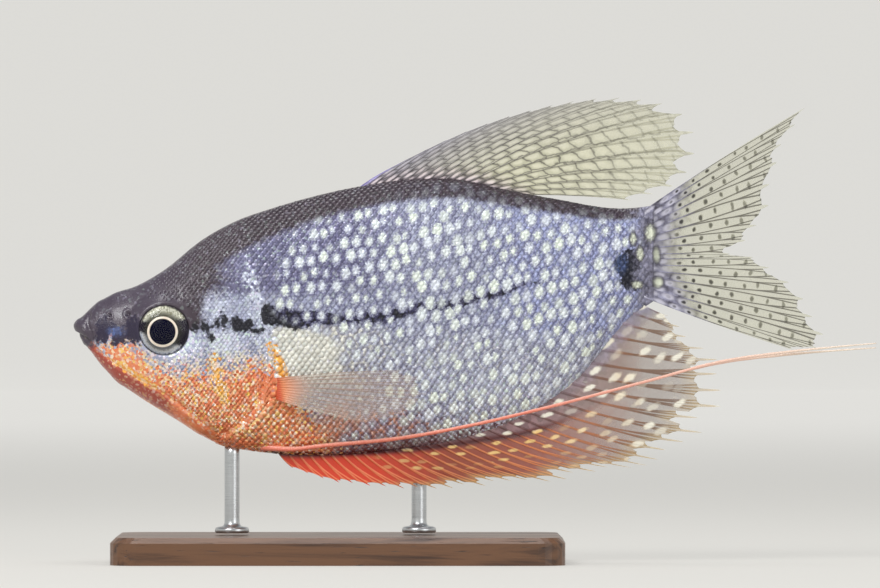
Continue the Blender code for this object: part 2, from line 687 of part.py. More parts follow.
def main():
    for obj in list(bpy.data.objects):
        bpy.data.objects.remove(obj)
    skin = material("skin", (0.30, 0.29, 0.38), 0.35)
    eye = material("eye", (0.03, 0.03, 0.04), 0.08)
    clear_fin = material("clear_fin", (0.50, 0.48, 0.38), 0.4)
    red_fin = material("red_fin", (0.60, 0.20, 0.12), 0.4)
    thread = material("thread", (0.80, 0.32, 0.22), 0.4)
    wood = material("base_wood", (0.10, 0.06, 0.04), 0.45)
    steel = material("rod_steel", (0.6, 0.6, 0.6), 0.3, 1.0)

    head(skin)
    lower_jaw(skin)
    trunk(skin)
    tail_stalk(skin)
    for side, word in ((-1, "left"), (1, "right")):
        gill_cover(f"gill_cover_{word}", side, skin)
        eyeball(f"eye_{word}", side, 0.0).data.materials.append(eye)
        pectoral_fin(f"pectoral_fin_{word}", side, clear_fin)
        thread_pieces(side, RIGHT_THREAD_DROP if side > 0 else 0.0, thread, body("cut", GAP))
    dorsal_fin(clear_fin)
    anal_fin(red_fin)
    tail_fin(clear_fin)
    base_plate(wood)
    rod("stand_rod_front", *FRONT_ROD, steel)
    rod("stand_rod_rear", *REAR_ROD, steel)
    for obj in bpy.data.objects:
        obj.data.shade_smooth()
        obj.data.set_sharp_from_angle(angle=math.radians(SHARP_EDGE))


main()
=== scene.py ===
# %% [markdown]
# # A pearl gourami on its museum stand
# A pearl gourami is a freshwater fish as long as a finger. Its deep, thin body is covered with small
# scales, and many of them carry a shining spot, the pearl. The plain solids of the fish and its stand
# are ready. This lesson gives them their skin, scales, fins, eyes and finish, at real size.

import math
from functools import partial

import bpy
import numpy as np
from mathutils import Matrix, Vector


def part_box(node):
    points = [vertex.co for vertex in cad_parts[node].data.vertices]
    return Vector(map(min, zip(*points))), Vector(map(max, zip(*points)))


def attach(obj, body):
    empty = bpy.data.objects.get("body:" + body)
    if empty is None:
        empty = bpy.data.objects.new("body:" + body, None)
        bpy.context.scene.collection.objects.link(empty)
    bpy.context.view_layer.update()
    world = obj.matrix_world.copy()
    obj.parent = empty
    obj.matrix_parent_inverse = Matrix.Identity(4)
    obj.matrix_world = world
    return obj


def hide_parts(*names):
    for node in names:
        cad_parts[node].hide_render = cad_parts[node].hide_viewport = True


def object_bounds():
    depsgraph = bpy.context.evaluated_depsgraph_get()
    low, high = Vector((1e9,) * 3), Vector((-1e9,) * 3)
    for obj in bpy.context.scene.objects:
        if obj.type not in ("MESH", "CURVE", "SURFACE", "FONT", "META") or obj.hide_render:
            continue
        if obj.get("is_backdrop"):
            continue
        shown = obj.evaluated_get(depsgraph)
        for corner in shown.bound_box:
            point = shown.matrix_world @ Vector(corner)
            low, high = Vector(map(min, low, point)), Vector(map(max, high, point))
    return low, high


MM = 0.001
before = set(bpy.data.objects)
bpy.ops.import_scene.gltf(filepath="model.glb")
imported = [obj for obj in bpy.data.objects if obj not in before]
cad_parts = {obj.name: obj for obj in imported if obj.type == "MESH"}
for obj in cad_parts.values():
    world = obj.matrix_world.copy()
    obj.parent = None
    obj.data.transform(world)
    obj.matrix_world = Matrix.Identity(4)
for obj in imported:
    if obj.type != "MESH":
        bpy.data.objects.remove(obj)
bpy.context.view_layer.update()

# %% [markdown]
# ## Places on the fish
# Places on a fish are easy to give in percent of its standard length, which runs from the tip of the snout
# to the root of the tail: how far along, and how far up from the snout. The model itself is in
# millimetres until each mesh is made. The eye's solid says where the snout lies in the frame.

# %% From percent to millimetres and back
STANDARD_LENGTH = 84.0
EYE = (15.7, -0.7)


def length(percent):
    return np.asarray(percent, float) * STANDARD_LENGTH / 100


eye_low, eye_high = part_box("eye_left")
EYE_X, EYE_Z = ((eye_low[k] + eye_high[k]) / 2 / MM for k in (0, 2))
SNOUT_X, SNOUT_Z = (EYE_X, EYE_Z) - length(EYE)
print(f"the tip of the snout is at x {SNOUT_X:.2f}, z {SNOUT_Z:.2f} mm")


def placed(spots):
    """X and Z in millimetres of spots, each along and up in percent."""
    return np.array([SNOUT_X, SNOUT_Z]) + length(spots)


def percent_of(x, z):
    """Along and up in percent, of places in millimetres."""
    return (x - SNOUT_X) * 100 / STANDARD_LENGTH, (z - SNOUT_Z) * 100 / STANDARD_LENGTH


# %% [markdown]
# Most outlines are smooth curves through a few points. A cubic that passes each point with the slope of its
# neighbours gives that without a modifier, and numpy reads it at thousands of places at once. Another
# helper is an eased step, the most useful function in this lesson: it fades one form or colour into another.

# %% Smooth curves and eased steps


def smooth(points, at):
    """The smooth curve through points, rows of distance and values, read at the distances in at."""
    points = np.array(points, float)
    knots = points[:, 0]
    slopes = np.gradient(points[:, 1:], knots, axis=0)
    at = np.clip(np.asarray(at, float), knots[0], knots[-1])
    k = np.clip(np.searchsorted(knots, at) - 1, 0, len(knots) - 2)
    step = (knots[k + 1] - knots[k])[..., None]
    t = (at - knots[k])[..., None] / step
    return ((2 * t**3 - 3 * t**2 + 1) * points[k, 1:] + (t**3 - 2 * t**2 + t) * step * slopes[k]
            + (3 * t**2 - 2 * t**3) * points[k + 1, 1:] + (t**3 - t**2) * step * slopes[k + 1])


def height(points, at):
    """The smooth curve through pairs of distance and height, as plain heights."""
    return smooth(points, at)[..., 0]


def run_of(points, axis=0):
    """How far each point lies along the line through points."""
    steps = np.linalg.norm(np.diff(points, axis=axis), axis=-1)
    return np.insert(np.cumsum(steps, axis=axis), 0, 0, axis=axis)


def evenly(points, shares):
    """Points of the smooth line through points, at shares of its length."""
    points = np.array(points, float)
    knots = run_of(points)
    fine = smooth(np.column_stack([knots, points]), np.linspace(0, knots[-1], 60 * len(points)))
    run = run_of(fine)
    return np.stack([np.interp(np.asarray(shares) * run[-1], run, values) for values in fine.T], axis=-1)


def ease(values, start, end):
    """0 before start, 1 after end, and a smooth rise between them. Start may be the larger of the two."""
    t = np.clip((np.asarray(values, float) - start) / (end - start), 0, 1)
    return t * t * (3 - 2 * t)


# %% [markdown]
# ## Camera, floor and light
# The fish is seen square from its left side, as from across a room through a long lens. The camera comes
# first, so that every later step can be looked at. The frame is 880 by 588 pixels, and the fish is drawn at
# about 6.8 pixels to the millimetre in it. The camera is level and stays above the floor.

# %% Camera
VIEW_X, VIEW_Z, VIEW_WIDTH = -5.2, 39.3, 128.9
SENSOR, LENS = 36.0, 400.0


def place_object(name, data, spot=(0, 0, 0), turn=(0, 0, 0)):
    """A new object in the scene, at a spot in mm."""
    obj = bpy.data.objects.new(name, data)
    obj.location = Vector(spot) * MM
    obj.rotation_euler = turn
    bpy.context.scene.collection.objects.link(obj)
    return obj


lens = bpy.data.cameras.new("camera")
lens.sensor_width, lens.lens, lens.clip_start = SENSOR, LENS, 0.01
distance = VIEW_WIDTH * LENS / SENSOR
bpy.context.scene.camera = place_object("camera", lens, (VIEW_X, -distance, VIEW_Z), (math.pi / 2, 0, 0))
print(f"the camera stands {distance:.0f} mm from the fish")

# %% [markdown]
# The floor is a wide shallow bowl of matt paper: flat under the stand, and rising all round to a pale
# backdrop with no edge or corner, whichever side the camera looks from. It is lit a little from behind, as
# a studio's translucent backdrop is, so that it stays pale far from the lamps.

# %% Adding nodes and colours
CHOICES = {"Math": "operation", "VectorMath": "operation", "Mix": "data_type", "MapRange": "interpolation_type"}


def srgb(code):
    """A colour written as sRGB hex, such as #8a86a0, as the linear colour that a shader takes."""
    parts = [int(code[i:i + 2], 16) / 255 for i in (1, 3, 5)]
    return tuple(p / 12.92 if p <= 0.04045 else ((p + 0.055) / 1.055) ** 2.4 for p in parts) + (1.0,)


def add_node(tree, kind, *inputs, out=None, **settings):
    """Adds a node and returns one of its outputs, the first if none is named. Kind may end in the node's
    choice of operation or type. Inputs fill or link its open sockets in their order, and a setting
    with a capital fills the socket of that name."""
    kind, _, choice = kind.partition(" ")
    node = tree.nodes.new("ShaderNode" + kind)
    if choice:
        setattr(node, CHOICES[kind], choice)
    for name in [name for name in settings if name[0].islower()]:
        setattr(node, name, settings.pop(name))
    pairs = [*zip([socket for socket in node.inputs if socket.enabled], inputs)]
    pairs += [(node.inputs[name.replace("_", " ")], value) for name, value in settings.items()]
    for socket, value in pairs:
        if isinstance(value, bpy.types.NodeSocket):
            tree.links.new(value, socket)
        else:
            socket.default_value = srgb(value)[:len(socket.default_value)] if isinstance(value, str) else value
    return node.outputs[out] if out else next((socket for socket in node.outputs if socket.enabled), node)


def new_material(name):
    """An empty node material, and the function that adds nodes to it."""
    material = bpy.data.materials.new(name)
    material.use_nodes = True
    material.node_tree.nodes.clear()
    return material, partial(add_node, material.node_tree)


def in_millimetres(add):
    """The place on the object in millimetres, the same for every piece, as all sit at the origin."""
    return add("VectorMath SCALE", add("TexCoord", out="Object"), 1 / MM)


def lay(add, ground, *layers):
    """The colour ground with others laid over it in turn, each given as its share and the colour."""
    for share, tone in layers:
        ground = add("Mix RGBA", share, ground, tone)
    return ground


def total(add, start, *parts):
    """The value start plus others, each given as a value and its weight."""
    for value, weight in parts:
        start = add("Math MULTIPLY_ADD", value, weight, start)
    return start


# %% Meshes from numpy points


def new_mesh(name, points, faces, material):
    """A smooth mesh of points in mm. A face with -1 in it has that corner less."""
    mesh = bpy.data.meshes.new(name)
    faces = [[corner for corner in face if corner >= 0] for face in np.asarray(faces).tolist()]
    mesh.from_pydata((points * MM).tolist(), [], faces)
    mesh.shade_smooth()
    mesh.materials.append(material)
    return mesh


def inside_out(points, faces):
    """True if the closed surface's faces point inwards."""
    start = points[faces[:, 0]]
    pairs = [(points[faces[:, i]], points[faces[:, i + 1]]) for i in range(1, faces.shape[1] - 1)]
    return sum(np.sum(start * np.cross(b, c)) for b, c in pairs) < 0


def lay_map(mesh, unwrap):
    """Gives the mesh its map. A face across the map's upper edge carries on beyond it."""
    corner = np.zeros(len(mesh.loops), np.int32)
    mesh.loops.foreach_get("vertex_index", corner)
    starts = np.zeros(len(mesh.polygons), np.int32)
    mesh.polygons.foreach_get("loop_start", starts)
    places = unwrap[corner]
    face_of = np.repeat(np.arange(len(starts)), np.diff(np.append(starts, len(corner))))
    highest = np.maximum.reduceat(places[:, 1], starts)
    places[(highest[face_of] > 0.75) & (places[:, 1] < 0.25), 1] += 1.0
    mesh.uv_layers.new(name="OFBake").data.foreach_set("uv", places.astype(np.float32).ravel())


def new_piece(name, points, faces, material, slot, replaced=(), fields={}, unwrap=None):
    """A closed piece that rides on the root. fields are named vectors at its points, and unwrap its map."""
    faces = np.asarray(faces)
    mesh = new_mesh(name, points, faces[:, ::-1] if inside_out(points, faces) else faces, material)
    for key, values in fields.items():
        attribute = mesh.attributes.new(key, "FLOAT_VECTOR", "POINT")
        attribute.data.foreach_set("vector", np.ascontiguousarray(values, np.float32).ravel())
    if unwrap is not None:
        lay_map(mesh, unwrap)
    obj = place_object(name, mesh)
    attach(obj, "root")
    if replaced:
        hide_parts(*replaced)
    print(f"{name}: {len(mesh.vertices)} points, {len(mesh.polygons)} faces")


def lattice(rows, columns, closed=False):
    """The four-sided faces of a grid of rows by columns of points, closed on itself across if asked."""
    i, j = np.meshgrid(np.arange(rows - 1), np.arange(columns if closed else columns - 1), indexing="ij")
    a, b = i * columns + j, i * columns + (j + 1) % columns
    return np.stack([a, b, b + columns, a + columns], axis=-1).reshape(-1, 4)


def fan(edge, middle):
    """Three-sided faces from a closed edge's points to a middle point."""
    return [(middle, after, before, -1) for before, after in zip(edge, np.roll(edge, -1))]


def capped(rings, ends):
    """Points and faces of rings in a row, closed at both ends by one point each."""
    rows, sides = rings.shape[:2]
    count, edge = rows * sides, np.arange(sides)
    caps = fan(edge, count) + fan((count - sides + edge)[::-1], count + 1)
    return np.vstack([rings.reshape(-1, 3), ends]), np.vstack([lattice(rows, sides, True), caps])


# %% Floor
FLOOR_FLAT, FLOOR_REACH, FLOOR_DROP = 2600.0, 4400.0, 0.02
RISE_END, FLOOR_RISE = 5500.0, 4080.0
FLOOR_RINGS, FLOOR_SIDES = 60, 96
PAPER_GLOW, NEAR_PAPER, FAR_PAPER = 0.62, 300.0, 1700.0

paper, add = new_material("matt_backdrop_paper")
at = in_millimetres(add)
fibre = add("TexNoise", at, Scale=0.8, Detail=3)
distant = add("MapRange SMOOTHSTEP", add("VectorMath LENGTH", at), NEAR_PAPER, FAR_PAPER)
surface = add("BsdfPrincipled", Base_Color=add("Mix RGBA", fibre, "#8b8984", "#918f8a"), Roughness=0.9,
              Emission_Color=add("Mix RGBA", distant, "#d2d1cd", "#f7f6f2"), Emission_Strength=PAPER_GLOW)
add("OutputMaterial", surface)

radius = FLOOR_REACH * np.linspace(0, 1, FLOOR_RINGS)
level = FLOOR_RISE * ease(radius, FLOOR_FLAT, RISE_END) - FLOOR_DROP


def round_turns(sides):
    """Angles evenly round a circle."""
    return np.linspace(0, 2 * math.pi, sides, endpoint=False)


def turned(profile, middles, sides):
    """Rings about a vertical line, from radius and level, each round its own middle."""
    turn, (radius, level) = round_turns(sides), np.array(profile).T[..., None]
    x, y = np.array(middles).T[..., None]
    return np.stack([x + radius * np.cos(turn), y + radius * np.sin(turn), level + 0 * turn], axis=-1)


bowl = turned(np.column_stack([radius, level]), [(0, 0)], FLOOR_SIDES).reshape(-1, 3)
place_object("floor", new_mesh("floor", bowl, lattice(FLOOR_RINGS, FLOOR_SIDES, True), paper))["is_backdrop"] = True

# %% [markdown]
# The light is a small studio: a large soft lamp high in front on the left, a weaker one on the right and one
# overhead, while the glowing paper shines through the thin fins from behind. Area lamps give the soft
# highlights that a wet or varnished fish needs. A dim pale world fills the shadows.

# %% Lamps
LAMPS = {"key": ((-260, -420, 420), 300, 2.0), "fill": ((380, -420, 160), 340, 0.6),
         "top": ((0, 60, 560), 420, 1.5)}
for name, (spot, size, power) in LAMPS.items():
    lamp = bpy.data.lights.new(name, "AREA")
    lamp.shape, lamp.size, lamp.energy = "DISK", size * MM, power
    aim = Vector((VIEW_X, 0, VIEW_Z)) - Vector(spot)
    place_object(name, lamp, spot, aim.to_track_quat("-Z", "Y").to_euler())
world = bpy.data.worlds.new("pale_room")
world.use_nodes = True
backing = world.node_tree.nodes["Background"].inputs
backing["Color"].default_value, backing["Strength"].default_value = srgb("#e8ecf2"), 0.4
bpy.context.scene.world = world
bpy.context.scene.view_settings.view_transform = "Standard"

# %% [markdown]
# ## The form of the body
# The body is a loft: rings across the fish, each known by its top, its bottom, its half width and how sharp its
# keel is. A loft gives a smooth skin with one seam-free surface, where sculpting would need a pasted mesh.
# The rings stand closest at the head, which has the finest forms.

# %% Rings of the body
SNOUT_TOP = [(0, -0.3), (0.2, 0.8), (1.4, 1.8), (3.1, 3.45), (5.2, 5.2), (8, 6.3)]
SNOUT_BOTTOM = [(0, -0.3), (0.3, -1.3), (0.9, -2), (1.7, -2.9), (2.4, -3.5), (3.1, -4.5), (5.1, -7.1),
                (8, -9.8)]
SNOUT_WIDTH = [(0, 0), (0.25, 1), (0.9, 1.8), (1.9, 2.5), (4, 3.4), (6, 4.05)]
BACK = [(1.9, 2), (4.1, 4.1), (6.6, 5.6), (10.7, 7), (15.3, 9.6), (22.3, 15.1), (28.3, 18.4), (34, 20.4),
        (49.4, 24.3), (60, 25.7), (67.5, 25.5), (74.6, 23.9), (83.5, 22.2), (96, 20.5), (101, 21)]
BELLY = [(1.9, -3.6), (4.4, -7.2), (10, -11.5), (18.7, -16.9), (24.7, -20.4), (30.7, -21.7), (39.1, -22.5),
         (47.8, -22.4), (56.5, -21.6), (65.2, -20.2), (73.9, -17.7), (80.9, -14.4), (87.8, -9.2), (97.4, 1.9),
         (101, 4.4)]
HALF_WIDTH = [(1.9, 2.5), (4, 3.4), (9.6, 5.2), (15.3, 6.3), (22, 7.3), (30, 8), (39, 8.1), (48, 7.9),
              (56.5, 7.5), (65, 6.9), (74, 6), (83, 4.9), (91, 3.6), (97, 2.3), (101, 1.7)]
KEEL = [(1.9, 0.5), (25, 0.5), (45, 0.62), (80, 0.72), (101, 0.6)]
JOIN_ABOVE, JOIN_BELOW = (3.6, 5.2), (5.6, 8.0)
WIDEST_LEVEL = 0.48
SNOUT_END, HEAD_END, BODY_END, TABLES_END = 1.9, 37.0, 100.9, 101.0
SNOUT_RINGS, HEAD_RING_STEP, REAR_RINGS = 24, 0.18, 112
SIDE_STEPS = 96


def section(along):
    """Top, bottom, widest level and half width in mm, and the keel's power, of the rings at along."""

    def joined(snout, body, join):
        """The body's curve, and before the join one that starts square to the fish's length."""
        share = ease(along, *join)
        tip = height([(math.sqrt(a), value) for a, value in snout], np.sqrt(along))
        return tip * (1 - share) + height(body, along) * share

    top = SNOUT_Z + length(joined(SNOUT_TOP, BACK, JOIN_ABOVE))
    bottom = SNOUT_Z + length(joined(SNOUT_BOTTOM, BELLY, JOIN_BELOW))
    half = length(joined(SNOUT_WIDTH, HALF_WIDTH, JOIN_ABOVE))
    return top, bottom, bottom + WIDEST_LEVEL * (top - bottom), half, height(KEEL, along)


def flank(along, up):
    """How far the smooth side stands from the middle, in mm."""
    top, bottom, widest, half, keel = section(np.asarray(along, float))
    z = SNOUT_Z + length(up)
    reach = (z - widest) / np.where(z > widest, top - widest, widest - bottom)
    return half * np.clip(1 - reach**2, 0, 1) ** np.where(z > widest, 0.5, keel)


ring_along = np.concatenate([np.linspace(0, 1, SNOUT_RINGS) ** 2 * SNOUT_END,
                             np.arange(SNOUT_END + HEAD_RING_STEP, HEAD_END, HEAD_RING_STEP),
                             np.linspace(HEAD_END, BODY_END, REAR_RINGS)])
spread = np.linspace(-1, 1, SIDE_STEPS + 1)
tilt = 0.25 * math.pi * spread + 0.5 * np.arcsin(spread)
top, bottom, widest, half, keel = (value[:, None] for value in section(ring_along))
side_x = SNOUT_X + length(ring_along)[:, None] + 0 * tilt
side_out = half * np.cos(tilt) ** np.where(tilt > 0, 1.0, 2 * keel)
side_up = widest + np.where(tilt > 0, top - widest, widest - bottom) * np.sin(tilt)
side = np.stack([side_x, side_out, side_up], axis=-1)
side[:, [0, -1], 1] = 0.0
print(len(ring_along), "rings of", 2 * SIDE_STEPS, "points")

# %% [markdown]
# ## The relief of the head
# What makes a head look alive is its relief: the line of the mouth between two lips, the crease behind the
# upper lip, the smooth rim of the lower jaw, two nostrils on each side, the collar round the eye and the free
# edge of the gill cover. Each is a line or a ring seen from the side, and the skin is pushed out or drawn in
# along its own normal by how near it lies to it. All of them stay real geometry, not bump.

# %% Lines of the head
MOUTH_LINE = [(-0.6, -1), (0.5, -1.45), (1.6, -2), (2.6, -2.75), (3.2, -3.7)]
LIP_CREASE = [(2.6, 2), (2.4, 1.4), (2.3, 0.6), (2.6, -0.5), (3, -1.6), (3.3, -2.6)]
UPPER_LIP, LOWER_LIP = [(-0.4, 0.1), (0.9, 0.1), (1.9, -0.9)], [(0.2, -2.4), (1.3, -3), (2.3, -3.9)]
JAW_LINE = [(3.2, -3.7), (4.3, -4.6), (7.5, -7.1), (11, -9.3), (14.3, -11.2), (18.5, -14), (22, -16.8)]
CHEEK_LINE = [(24.2, 2.2), (24.1, -3.3), (24.2, -8.6), (25.3, -12.6), (28, -15.8)]
GILL_EDGE = [(27.6, 6.6), (30.4, 5.6), (32.3, 2.6), (33.2, -1.2), (33.7, -4.6), (33.4, -9.2), (32.4, -13),
             (30.2, -16.4), (26.6, -18.9)]
LOWER_FOLDS = [[(17, -12.6), (22, -15.4), (27, -17.2)], [(20, -16.2), (25, -18.4), (30, -19.4)]]
GROOVES = [(MOUTH_LINE, -0.42, 0.19), (LIP_CREASE, -0.26, 0.28), (UPPER_LIP, 0.22, 0.55),
           (LOWER_LIP, 0.20, 0.34), (CHEEK_LINE, -0.13, 0.35), *((fold, -0.10, 0.28) for fold in LOWER_FOLDS)]
NOSTRILS = [((9.4, 2.1), 0.56), ((6.2, 1.9), 0.4)]
EYE_LEVEL = float(flank(*EYE))
EYE_SHOWN, ORBIT_REACH, ORBIT_DEPTH = 3.66, 5.7, 1.7


def from_line(x, z, line):
    """How far places lie from a smooth line in side view, in mm, below zero on its left."""
    line = placed(evenly(line, np.linspace(0, 1, 50)))
    run_x, run_z = np.diff(line, axis=0).T
    dx, dz = np.ravel(x)[:, None] - line[:-1, 0], np.ravel(z)[:, None] - line[:-1, 1]
    t = np.clip((dx * run_x + dz * run_z) / (run_x**2 + run_z**2), 0, 1)
    away = np.hypot(dx - t * run_x, dz - t * run_z) * np.where(run_z * dx < run_x * dz, -1, 1)
    return away[np.arange(len(away)), np.argmin(np.abs(away), axis=1)]


def bump(away, width):
    return np.exp(-(away / width) ** 2)


def relief(x, z):
    """How far the skin stands out from the plain loft, in mm."""
    lift = sum(rise * bump(from_line(x, z, line), width) for line, rise, width in GROOVES)
    rim, edge = from_line(x, z, JAW_LINE), from_line(x, z, GILL_EDGE)
    lift += 0.16 * ease(rim, -0.1, 0.3) * ease(rim, 2.2, 1.2) - 0.20 * bump(rim + 0.1, 0.24)
    lift += 0.24 * np.exp(edge / 2.4) * (edge < 0) * ease(-edge, -0.01, 0.2)
    lift -= 0.30 * np.exp(-np.abs(edge) / 0.7) * (edge >= -0.02)
    for spot, radius in NOSTRILS:
        away = np.hypot(*(np.array([np.ravel(x), np.ravel(z)]) - placed(spot)[:, None]))
        lift += 0.12 * bump(away - radius, 0.16) - 0.42 * bump(away, radius * 0.55)
    return lift.reshape(np.shape(x))


def normals_of(grid):
    """Unit normals of a grid of points, on the side of growing Y."""
    normal = np.cross(np.gradient(grid, axis=0), np.gradient(grid, axis=1))
    normal /= np.maximum(np.linalg.norm(normal, axis=-1, keepdims=True), 1e-9)
    return normal * np.where(normal[..., 1:2] < 0, -1, 1)


# The skin comes to a level collar round the eye, and sinks behind the eyeball
skin_side = side + normals_of(side) * relief(side[..., 0], side[..., 2])[..., None]
skin_side[0], skin_side[:, [0, -1], 1] = side[0], 0.0
away = np.hypot(skin_side[..., 0] - EYE_X, skin_side[..., 2] - EYE_Z)
collar = EYE_LEVEL + 0.10 * bump(away - EYE_SHOWN - 0.35, 0.3)
share, out = ease(away, ORBIT_REACH, EYE_SHOWN + 0.1), skin_side[..., 1]
sunk = out * (1 - share) + collar * share - ORBIT_DEPTH * ease(away, EYE_SHOWN + 0.04, 3.2)
beside_eye = (out > 0.3 * EYE_LEVEL) & (away < ORBIT_REACH)
skin_side[..., 1] = np.where(beside_eye, sunk, out)
print(f"the eye's collar stands {EYE_LEVEL:.2f} mm from the middle")

# %% [markdown]
# ## Where the markings lie
# Skin, scales and fins all carry one pattern. It is worked out here as soft masks over the side view, and each
# mesh stores them at its points: how dark the stripe is, where pearls may show, and how much of each tone
# lies there. The shader then adds grain, ragged edges and the pearls themselves, finer than any mesh.
# A second pair of numbers says how far along the fish a point lies and how far round the flank from the
# middle line, so that pearls keep their real size on the curved side.

# %% Masks of the pattern
MIDDLE_LINE = [(0, -0.5), (15.3, -0.6), (30, 0.3), (45, 1.2), (60, 3.3), (78, 7.3), (101, 12.6)]
STRIPE = [(33, 2.2), (36.5, 1.7), (39.3, 1.2), (43.3, 1.4), (47, 1), (50.8, 1.7), (53.9, 1.2), (58.4, 3),
          (61.9, 3.3), (65, 3.7), (67, 3.9), (69.6, 5), (73.9, 5.7), (76.2, 6.6), (78.3, 7.3), (83, 7.4)]
STRIPE_HALF = [(33, 1.5), (35, 1.85), (39, 1.7), (43, 1.15), (50, 1), (57, 1.05), (63, 0.85), (70, 0.75),
               (76, 0.55), (79, 0.2), (83, -0.25)]
BLOTCHES = [((21.2, -0.2), (0.75, 0.95)), ((23, -0.2), (0.85, 1.05)), ((24.9, 0.5), (0.7, 0.95)),
            ((26.2, 0.9), (0.75, 1.5)), ((24, -1.9), (0.7, 0.8)), ((28.4, 0.4), (1.3, 1.3)),
            ((30.2, 0.2), (1.1, 1.1)), ((31.9, -0.6), (1.1, 0.7)), ((97.2, 10.4), (1.5, 3.4)),
            ((96.3, 8.2), (1.5, 1.9)), ((95.2, 10.8), (1.5, 1.9))]
SNOUT_SHADE = [((5.3, -0.9), (1.9, 2.2)), ((7.9, -1.7), (2.2, 1.6)), ((10.4, -1), (2.4, 2.2))]
TAIL_SPOT, TAIL_GLEAM = ((96.4, 10), (2.7, 4)), ((95, 11), (1.3, 2))
SNOUT_GLEAM, FIN_KNOB = ((7.4, -0.9), (1.7, 1)), ((34, -10.8), (2.3, 2.7))
BLUE_CHEEK, PALE_NECK = ((26.6, -3), (3.4, 2.6)), ((24.5, 3.6), (4.2, 3.4))
GOLD_AND_PAINTED_LIGHT_PATCH, STRIPE_ENDS, NO_STRIPE = ((36.5, -15.6), (4.5, 3.2)), (32.6, 84), -3.0
RED_TOP = [(0, -2.4), (2.5, -3), (4.5, -3.3), (10.5, -3.2), (12.5, -5.4), (15.5, -7.6), (20, -7.6), (24, -7.4),
           (28, -6.8), (32, -6), (35, -7.6), (38.5, -12), (43, -17), (50, -19), (101, -30)]
GOLD_LINES = [([(7, -6.2), (10.5, -8.4), (14.3, -10.8)], 0.5), ([(24.3, -5.6), (25.2, -9.6), (26.2, -13)], 1.0),
              ([(34.4, -3.6), (35.6, -6), (36.4, -8.4)], 0.8)]
BASE_LINE = [(30.4, -21.8), (39.1, -22.4), (47.8, -22.2), (56.5, -21.7), (63.5, -21), (70.4, -20),
             (79.7, -18.4), (88, -15.5), (104, -6)]
UNDER_THREAD = [(41, -20.6), (56.5, -19.3), (68.7, -17.1), (81.2, -14.1), (90, -9)]
BEIGE_LINE = [(29.4, 9.4), (31.2, 5), (32.4, 0.2), (34, -4.6)]
BACK_BAND = [(24, 6.5), (38, 4.6), (50, 3.9), (62, 3.6), (75, 2.9), (90, 2.3), (101, 1.7)]
PEARLS_FROM = [(-23, 43), (-19, 46), (-12, 47), (-6, 45.5), (-2.5, 45), (0.5, 37), (8, 35), (14, 36), (20, 41)]
# Besides the markings, two masks hold painted light: one says where bright flecks are painted in as glints, and one
# draws the painted shadow of the pelvic thread
MASKS = {"marks": ("dark", "pearls", "pale"), "tints": ("red", "back", "gold"),
         "sheens": ("silver", "blue", "mauve"), "looks": ("painted_glints", "coral", "slate"),
         "gleams": ("gleam", "wine", "large"), "lows": ("under",)}


def painted_thread_shadow_line(along, up):
    """A dark line along the root of the anal fin: the painted shadow that the pelvic thread casts there."""
    return bump(up - height(BASE_LINE, along), 0.6) * ease(along, 31, 35) * ease(along, 90, 80)


